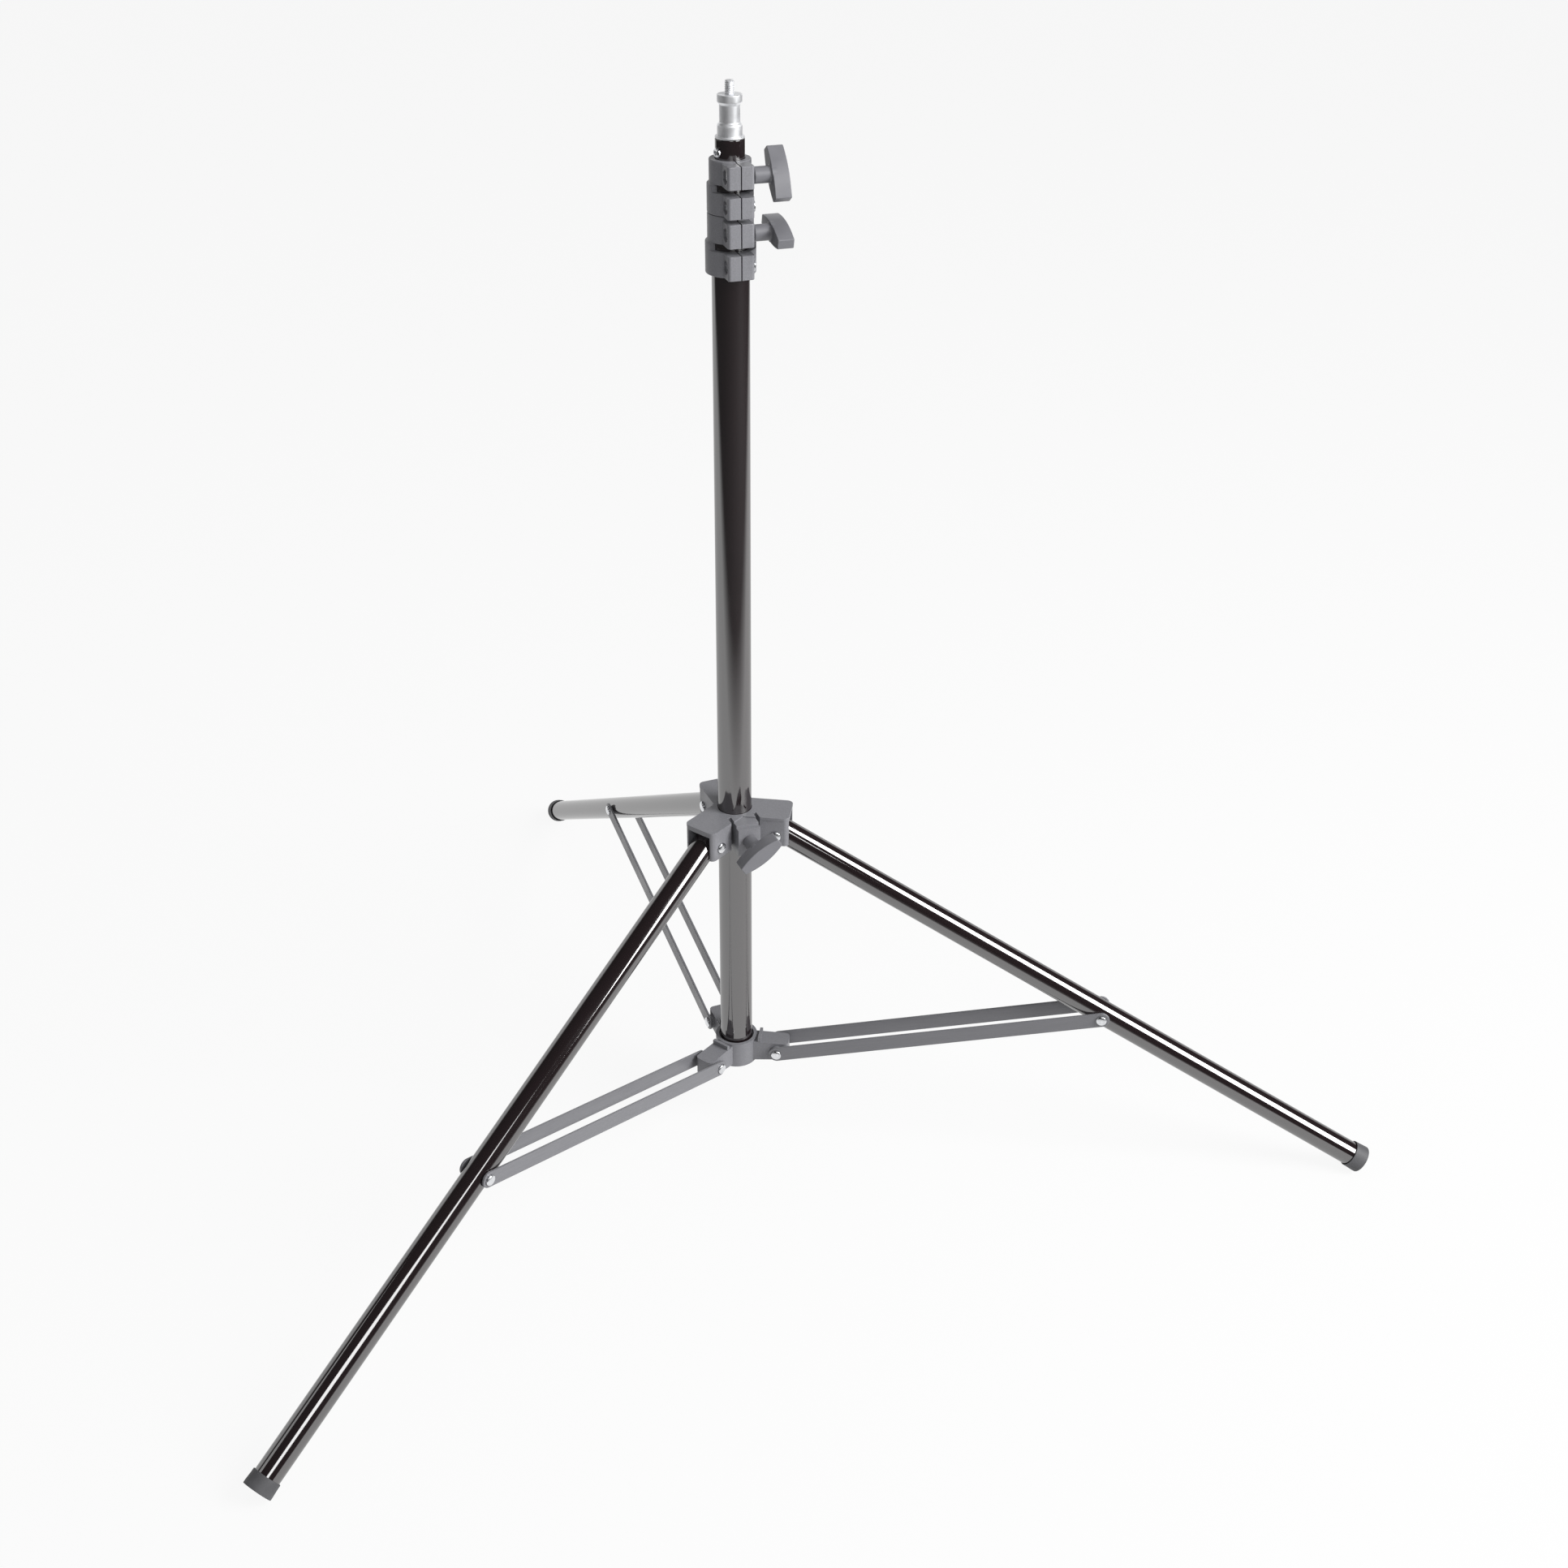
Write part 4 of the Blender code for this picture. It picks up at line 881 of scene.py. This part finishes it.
def leg_collar():
    """The collar: ring, boxes, plate and lug are welded, and then bored, hollowed and notched."""
    low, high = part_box("leg_collar")
    bottom = HINGE_HEIGHT - BOX_BELOW_HINGE
    top = high.z
    outer = BOX_INSIDE + BOX_WALL
    hub = cylinder(COLLAR_RING, bottom + HUB_DROP, top - HUB_DROP)
    walls = three_arms(outer, BOX_REACH - PLATE_LIP, WALL_CORNER, bottom, top - OVERRUN)
    plate = three_arms(outer + PLATE_LIP, BOX_REACH, PLATE_CORNER, top - PLATE_LIP_DEPTH, top)
    front = Matrix.Rotation(bearing_of(joints["collar_knob_turn"]["pos_m"]), 4, "Z")
    half = LUG_HALF + LUG_SPARE
    lug = block((LUG_ROOT, -half, low.z), (LUG_REACH, half, top - LUG_DROP))
    step = block((LUG_ROOT, -half, top - STEP_FOOT), (LUG_REACH - LUG_STEP, half, top - STEP_DROP))
    solid = combined(hub, "UNION", walls, plate, placed(lug, front), placed(step, front))
    bore = cylinder(TUBE_RADIUS + SLIP, low.z - OVERRUN, top + OVERRUN)
    back = HINGE_REACH - (sqrt(LEG_RADIUS ** 2 + LEG_TAIL ** 2) + LEG_ROOM)
    roof = top - PLATE_THICKNESS
    insides = [placed(block((back, -BOX_INSIDE, bottom - OVERRUN),
                            (BOX_REACH + OVERRUN, BOX_INSIDE, roof)),
                      Matrix.Rotation(bearing, 4, "Z")) for bearing in BEARINGS.values()]
    notches = []
    for side in (-1.0, 1.0):
        across_at = side * (LUG_HALF + NOTCH_WIDTH / 2)
        notch = block((NOTCH_FROM, across_at - NOTCH_WIDTH / 2, low.z - OVERRUN),
                      (BOX_REACH, across_at + NOTCH_WIDTH / 2, top + OVERRUN))
        notches.append(placed(notch, front))
    for tools in ([bore], insides, notches):
        solid = combined(solid, "DIFFERENCE", *tools)
    solid = eased(solid, CASTING_EDGE)
    dressed("leg_collar_coated", placed(solid, AT_COLUMN), CASTING, "leg_collar", "casting_grey",
            "leg_collar")


leg_collar()


# Collar brake pad, hinge rivets and collar knob
# The brass pad lies between the knob's stud and the base tube. A zinc-plated rivet crosses each
# hinge box, and the knob is moulded like those of the clamps on a longer shank.

BRASS = plated("pad_brass", colour=(0.62, 0.45, 0.18), roughness=0.35)
refinished(BRASS, "collar_brake_pad")
for leg in LEGS:
    rivet = placed(double_rivet(BOX_INSIDE + BOX_WALL + SLIP),
                   across(joints["leg_" + leg + "_hinge"]["pos_m"], BEARINGS[leg]))
    dressed("leg_hinge_rivet_" + leg + "_plated", rivet, ZINC, "leg_collar", "zinc",
            "leg_hinge_rivet_" + leg)
COLLAR_SHANK = 13.5 * MM
COLLAR_TURN = radians(57.0)
knob("collar_knob", joints["collar_knob_turn"], (-sin(COLLAR_TURN), 0.0, -cos(COLLAR_TURN)),
     COLLAR_SHANK, "collar_knob")


# Legs
# Three aluminium tubes, 19 mm across, in the column's gloss black, each with a flared rubber cap
# pushed on its end. A leg runs from its hinge in the collar to the middle of its cap on the floor.

SKIN_DEPTH = 0.05 * MM


def plain_rubber(name, colour, roughness):
    """Moulded rubber: matt, slightly dusty, with a fine skin."""
    material, shader = finish(name, colour, roughness)
    even = object_space(material)
    dust = ranged(material, noise(material, even, 90.0, 5.0), (0.45, 0.75), (0.0, 0.5))
    feed(material, shader.inputs["Base Color"],
         tinted(material, dust, colour, tuple(c * 1.7 for c in colour)))
    feed(material, shader.inputs["Normal"],
         bumped(material, noise(material, even, 900.0, 4.0), SKIN_DEPTH, 0.5))
    return material


RUBBER = plain_rubber("foot_rubber", colour=(0.075, 0.075, 0.080), roughness=0.62)
FOOT_RADIUS = 10.8 * MM
FOOT_SOLE = 3.0 * MM
FOOT_LENGTH = 11.0 * MM
FOOT_WALL = 0.7 * MM
FOOT_FLARE = 2.4 * MM
FOOT_NECK = 3.0 * MM
FOOT_EDGE = 0.3 * MM
HOLLOW_DEPTH = 0.6 * MM
HOLLOW_INSET = 2.6 * MM
RIM_WIDTH = 2.0 * MM


def level_across(leg):
    """The level direction square to a leg."""
    return Vector((-sin(BEARINGS[leg]), cos(BEARINGS[leg]), 0.0))


def along(leg):
    """A leg's space: its hinge at the origin, +Z up the leg and +Y level across it."""
    hinge = Vector(joints["leg_" + leg + "_hinge"]["pos_m"])
    z = (hinge - middle("leg_tube_" + leg)).normalized()
    y = level_across(leg)
    return Matrix.Translation(hinge) @ turned_to(y.cross(z), y, z)


def leg_and_foot(leg):
    """A leg tube, and the cap that is pushed on its lower end."""
    space = along(leg)
    half_length = (middle("leg_tube_" + leg) - space.translation).length
    end = 2 * half_length + LEG_TAIL
    section = [(LEG_RADIUS, -end), (LEG_RADIUS, LEG_TAIL), (LEG_RADIUS - WALL, LEG_TAIL),
               (LEG_RADIUS - WALL, -end)]
    paint = gloss_black("leg_" + leg + "_paint", space.to_3x3().inverted().to_euler())
    tube = placed(eased(spun(section), TUBE_EDGE, segments=2), space)
    dressed("leg_" + leg + "_painted", tube, paint, "leg_" + leg, "tube_black", "leg_tube_" + leg)

    sole = -end - SLIP - FOOT_SOLE
    mouth = sole + FOOT_LENGTH
    inner = LEG_RADIUS + SLIP
    outer = inner + FOOT_WALL
    section = [(0.0, sole + HOLLOW_DEPTH), (FOOT_RADIUS - HOLLOW_INSET, sole + HOLLOW_DEPTH),
               (FOOT_RADIUS - RIM_WIDTH, sole), (FOOT_RADIUS, sole),
               (FOOT_RADIUS, sole + FOOT_FLARE), (outer, mouth - FOOT_NECK), (outer, mouth),
               (inner, mouth), (inner, sole + FOOT_SOLE), (0.0, sole + FOOT_SOLE)]
    cap = placed(eased(spun(section), FOOT_EDGE, sharp=20.0), space)
    dressed("foot_" + leg + "_rubber", cap, RUBBER, "leg_" + leg, "rubber", "foot_cap_" + leg)


for leg in LEGS:
    leg_and_foot(leg)


# Braces and their rivets
# Flat steel bars with round ends, in satin grey paint, a pair for each leg. They pass each side of
# the arm and of the leg, and a rivet end with a domed head holds each to the leg.

LINE_DEPTH = 0.02 * MM


def satin_steel(name, colour, roughness, turn):
    """Painted flat steel with faint rolling lines along the bar."""
    material, shader = finish(name, colour, roughness)
    even = object_space(material)
    lengthwise = object_space(material, turn, (1.0, 1.0, 0.03))
    lines = noise(material, lengthwise, 1600.0, 2.0)
    clouds = noise(material, even, 40.0, 3.0)
    feed(material, shader.inputs["Roughness"],
         ranged(material, clouds, (0.3, 0.7), (roughness - 0.08, roughness + 0.08)))
    darker = tuple(c * 0.9 for c in colour)
    lighter = tuple(c * 1.1 for c in colour)
    feed(material, shader.inputs["Base Color"], tinted(material, lines, darker, lighter))
    feed(material, shader.inputs["Normal"], bumped(material, lines, LINE_DEPTH, 0.3))
    return material


BRACE_GREY = (0.175, 0.175, 0.188)
BRACE_ROUGHNESS = 0.36
BRACE_HALF_WIDTH = 6.2 * MM
BRACE_EDGE = 0.45 * MM
END_STEPS = 16


def brace_bar(length):
    """A bar along Z from rivet to rivet, its thickness along +Y."""
    outline = []
    for centre, start in ((0.0, pi), (length, 0.0)):
        for i in range(END_STEPS + 1):
            angle = start + pi * i / END_STEPS
            outline.append((BRACE_HALF_WIDTH * cos(angle), 0.0,
                            centre + BRACE_HALF_WIDTH * sin(angle)))
    return eased(prism(outline, (0.0, BRACE_OUTER - BRACE_INNER, 0.0)), BRACE_EDGE)


def brace_pair(leg):
    """A leg's two bars, each with its rivet end in the leg."""
    hinge = Vector(joints["braces_" + leg + "_hinge"]["pos_m"])
    y = level_across(leg)
    centre = middle("brace_" + leg + "_left")
    centre -= y * (centre - hinge).dot(y)
    z = (centre - hinge).normalized()
    length = 2 * (centre - hinge).length
    space = Matrix.Translation(hinge) @ turned_to(y.cross(z), y, z)
    turn = space.to_3x3().inverted().to_euler()
    paint = satin_steel("brace_" + leg + "_paint", BRACE_GREY, BRACE_ROUGHNESS, turn)
    for side, sign in (("left", 1.0), ("right", -1.0)):
        face = BRACE_INNER if sign > 0.0 else -BRACE_OUTER
        bar = placed(brace_bar(length), space @ Matrix.Translation((0.0, face, 0.0)))
        node = "brace_" + leg + "_" + side
        dressed(node + "_painted", bar, paint, "braces_" + leg, "brace_grey", node)
        stub = spun([(0.0, LEG_RADIUS + SLIP), (PIN, LEG_RADIUS + SLIP)]
                    + head_section(BRACE_OUTER + SLIP), PIN_STEPS)
        turn_out = Matrix.Rotation(radians(-90.0) * sign, 4, "X")
        stub = placed(stub, space @ (Matrix.Translation((0.0, 0.0, length)) @ turn_out))
        node = "brace_rivet_" + leg + "_" + side
        dressed(node + "_plated", stub, ZINC, "braces_" + leg, "zinc", node)


for leg in LEGS:
    brace_pair(leg)


# Floor
# A seamless sheet of white paper under the stand. The camera sees it near white, with the soft
# shadow of the stand. In the gloss of the tubes its glow is a painted pool of light, bright about
# the stand's foot and dark some way in front of it.

PAPER_WHITE = (0.65, 0.65, 0.65)
PAPER_ROUGHNESS = 0.9
PAPER_HALF = 20.0
PAPER_GLOW = 0.91
# Centre and edge of a painted pool of light, seen only in the gloss of the tubes.
PAINTED_POOL_BACK = 1.08
PAINTED_POOL_ASIDE = 0.15
PAINTED_POOL_EDGE = (1.60, 1.98)
ROOM_LEVEL = 0.03


def clear_rays(owner):
    """A socket that is 1 for what the camera sees, also through glass, and the ray's sockets."""
    light = added(owner, "ShaderNodeLightPath", {}, {}).outputs
    return blended(owner, "MAXIMUM", light["Is Camera Ray"], light["Is Transmission Ray"]), light


def sweep():
    """The paper: its glow, a share of its shader, is a painted pool of light to glossy rays."""
    bm = bmesh.new()
    bmesh.ops.create_grid(bm, x_segments=8, y_segments=8, size=PAPER_HALF)
    paper = set_down("paper_floor", bm)
    material, shader = finish("white_paper", PAPER_WHITE, PAPER_ROUGHNESS)
    shader.inputs["Specular IOR Level"].default_value = 0.0
    place = added(material, "ShaderNodeTexCoord", {}, {}).outputs["Object"]
    shift = (-COLUMN.x - PAINTED_POOL_ASIDE, -COLUMN.y - PAINTED_POOL_BACK, 0.0)
    shifted = added(material, "ShaderNodeMapping", {"Location": shift}, {"Vector": place})
    axes = added(material, "ShaderNodeSeparateXYZ", {}, {"Vector": shifted.outputs["Vector"]})
    forward = blended(material, "MINIMUM", axes.outputs["Y"], 0.0)
    flat = added(material, "ShaderNodeCombineXYZ", {}, {"X": axes.outputs["X"], "Y": forward})
    reach = added(material, "ShaderNodeVectorMath", {"operation": "LENGTH"}, {0: flat.outputs[0]})
    # Painted pool of light: to glossy rays the glow is full near the stand and fades to the room's
    # level in front.
    painted_pool = ranged(material, reach.outputs["Value"], PAINTED_POOL_EDGE, (1.0, ROOM_LEVEL))
    clear, light = clear_rays(material)
    painted_pool_gloss = blended(material, "MULTIPLY", light["Is Glossy Ray"], painted_pool)
    level = blended(material, "MAXIMUM", clear, painted_pool_gloss)
    seen = blended(material, "MAXIMUM", clear, light["Is Glossy Ray"])
    share = blended(material, "MULTIPLY", seen, PAPER_GLOW)
    glow = added(material, "ShaderNodeEmission", {"Color": (1.0, 1.0, 1.0, 1.0)},
                 {"Strength": level})
    mixed = added(material, "ShaderNodeMixShader", {},
                  {0: share, 1: shader.outputs[0], 2: glow.outputs[0]})
    surface = material.node_tree.nodes["Material Output"].inputs["Surface"]
    feed(material, surface, mixed.outputs[0])
    paper.data.materials.append(material)


sweep()


# Studio light
# A white backdrop behind the stand and a dark room before it. A tall soft box at the front right
# is the main light, and the others are weak. All hang high, so the column mirrors none of them.

BACKDROP_EDGE = 0.4
BACKDROP_LEAN = 1.2
SURROUND_LIGHT = 0.24


def surround():
    """The world: white to the camera, a backdrop in the gloss and a weak light all round."""
    world = bpy.data.worlds.new("studio")
    bpy.context.scene.world = world
    world.use_nodes = True
    sky = world.node_tree.nodes["Background"]
    sky.inputs["Color"].default_value = (1.0, 1.0, 1.0, 1.0)
    source = added(world, "ShaderNodeTexCoord", {}, {}).outputs["Generated"]
    heading = added(world, "ShaderNodeSeparateXYZ", {}, {"Vector": source}).outputs
    climb = blended(world, "MULTIPLY", heading["Z"], BACKDROP_LEAN)
    behind = blended(world, "SUBTRACT", heading["Y"], climb)
    back = ranged(world, behind, (0.0, BACKDROP_EDGE), (ROOM_LEVEL, 1.0))
    clear, light = clear_rays(world)
    gloss = blended(world, "MULTIPLY", light["Is Glossy Ray"], back)
    spread = blended(world, "MULTIPLY", light["Is Diffuse Ray"], SURROUND_LIGHT)
    level = blended(world, "MAXIMUM", blended(world, "MAXIMUM", clear, gloss), spread)
    feed(world, sky.inputs["Strength"], level)


def soft_box(name, place, aim_height, width, height, watts):
    """A soft box hung about the column and turned toward a height on it."""
    lamp = bpy.data.lights.new(name, "AREA")
    lamp.shape = "RECTANGLE"
    lamp.size = width
    lamp.size_y = height
    lamp.energy = watts
    holder = linked(name, lamp)
    holder.location = COLUMN + Vector(place)
    away = COLUMN + Vector((0.0, 0.0, aim_height)) - holder.location
    holder.rotation_euler = away.to_track_quat("-Z", "Y").to_euler()


surround()
soft_box("tall_box", (1.50, -1.50, 1.65), aim_height=0.45, width=1.3, height=1.6, watts=84.0)
soft_box("front_box", (-0.30, -2.20, 1.75), aim_height=0.52, width=1.0, height=0.8, watts=12.0)
soft_box("left_box", (-2.2, 0.5, 1.6), aim_height=0.4, width=0.8, height=0.8, watts=2.0)
soft_box("overhead_box", (0.2, 0.2, 2.6), aim_height=0.2, width=1.2, height=1.2, watts=4.0)


# Camera
# It stands in front and to the left of the column at head height and looks down on the stand, with
# a slight roll, through a lens somewhat longer than normal.

VIEWPOINT = Vector((-465.6, -1211.6, 1073.2)) * MM
YAW = radians(22.64)
PITCH = radians(30.39)
ROLL = radians(0.39)
SENSOR_MM = 36.0
FOCAL_MM = 46.508
lens = bpy.data.cameras.new("camera")
lens.sensor_width = SENSOR_MM
lens.lens = FOCAL_MM
lens.clip_start = 0.01
lens.clip_end = 100.0
camera = linked("camera", lens)
camera.matrix_world = (Matrix.Translation(COLUMN + VIEWPOINT) @ Matrix.Rotation(-YAW, 4, "Z")
                       @ Matrix.Rotation(pi / 2 - PITCH, 4, "X") @ Matrix.Rotation(ROLL, 4, "Z"))
bpy.context.scene.camera = camera
bpy.context.scene.view_settings.view_transform = "Standard"
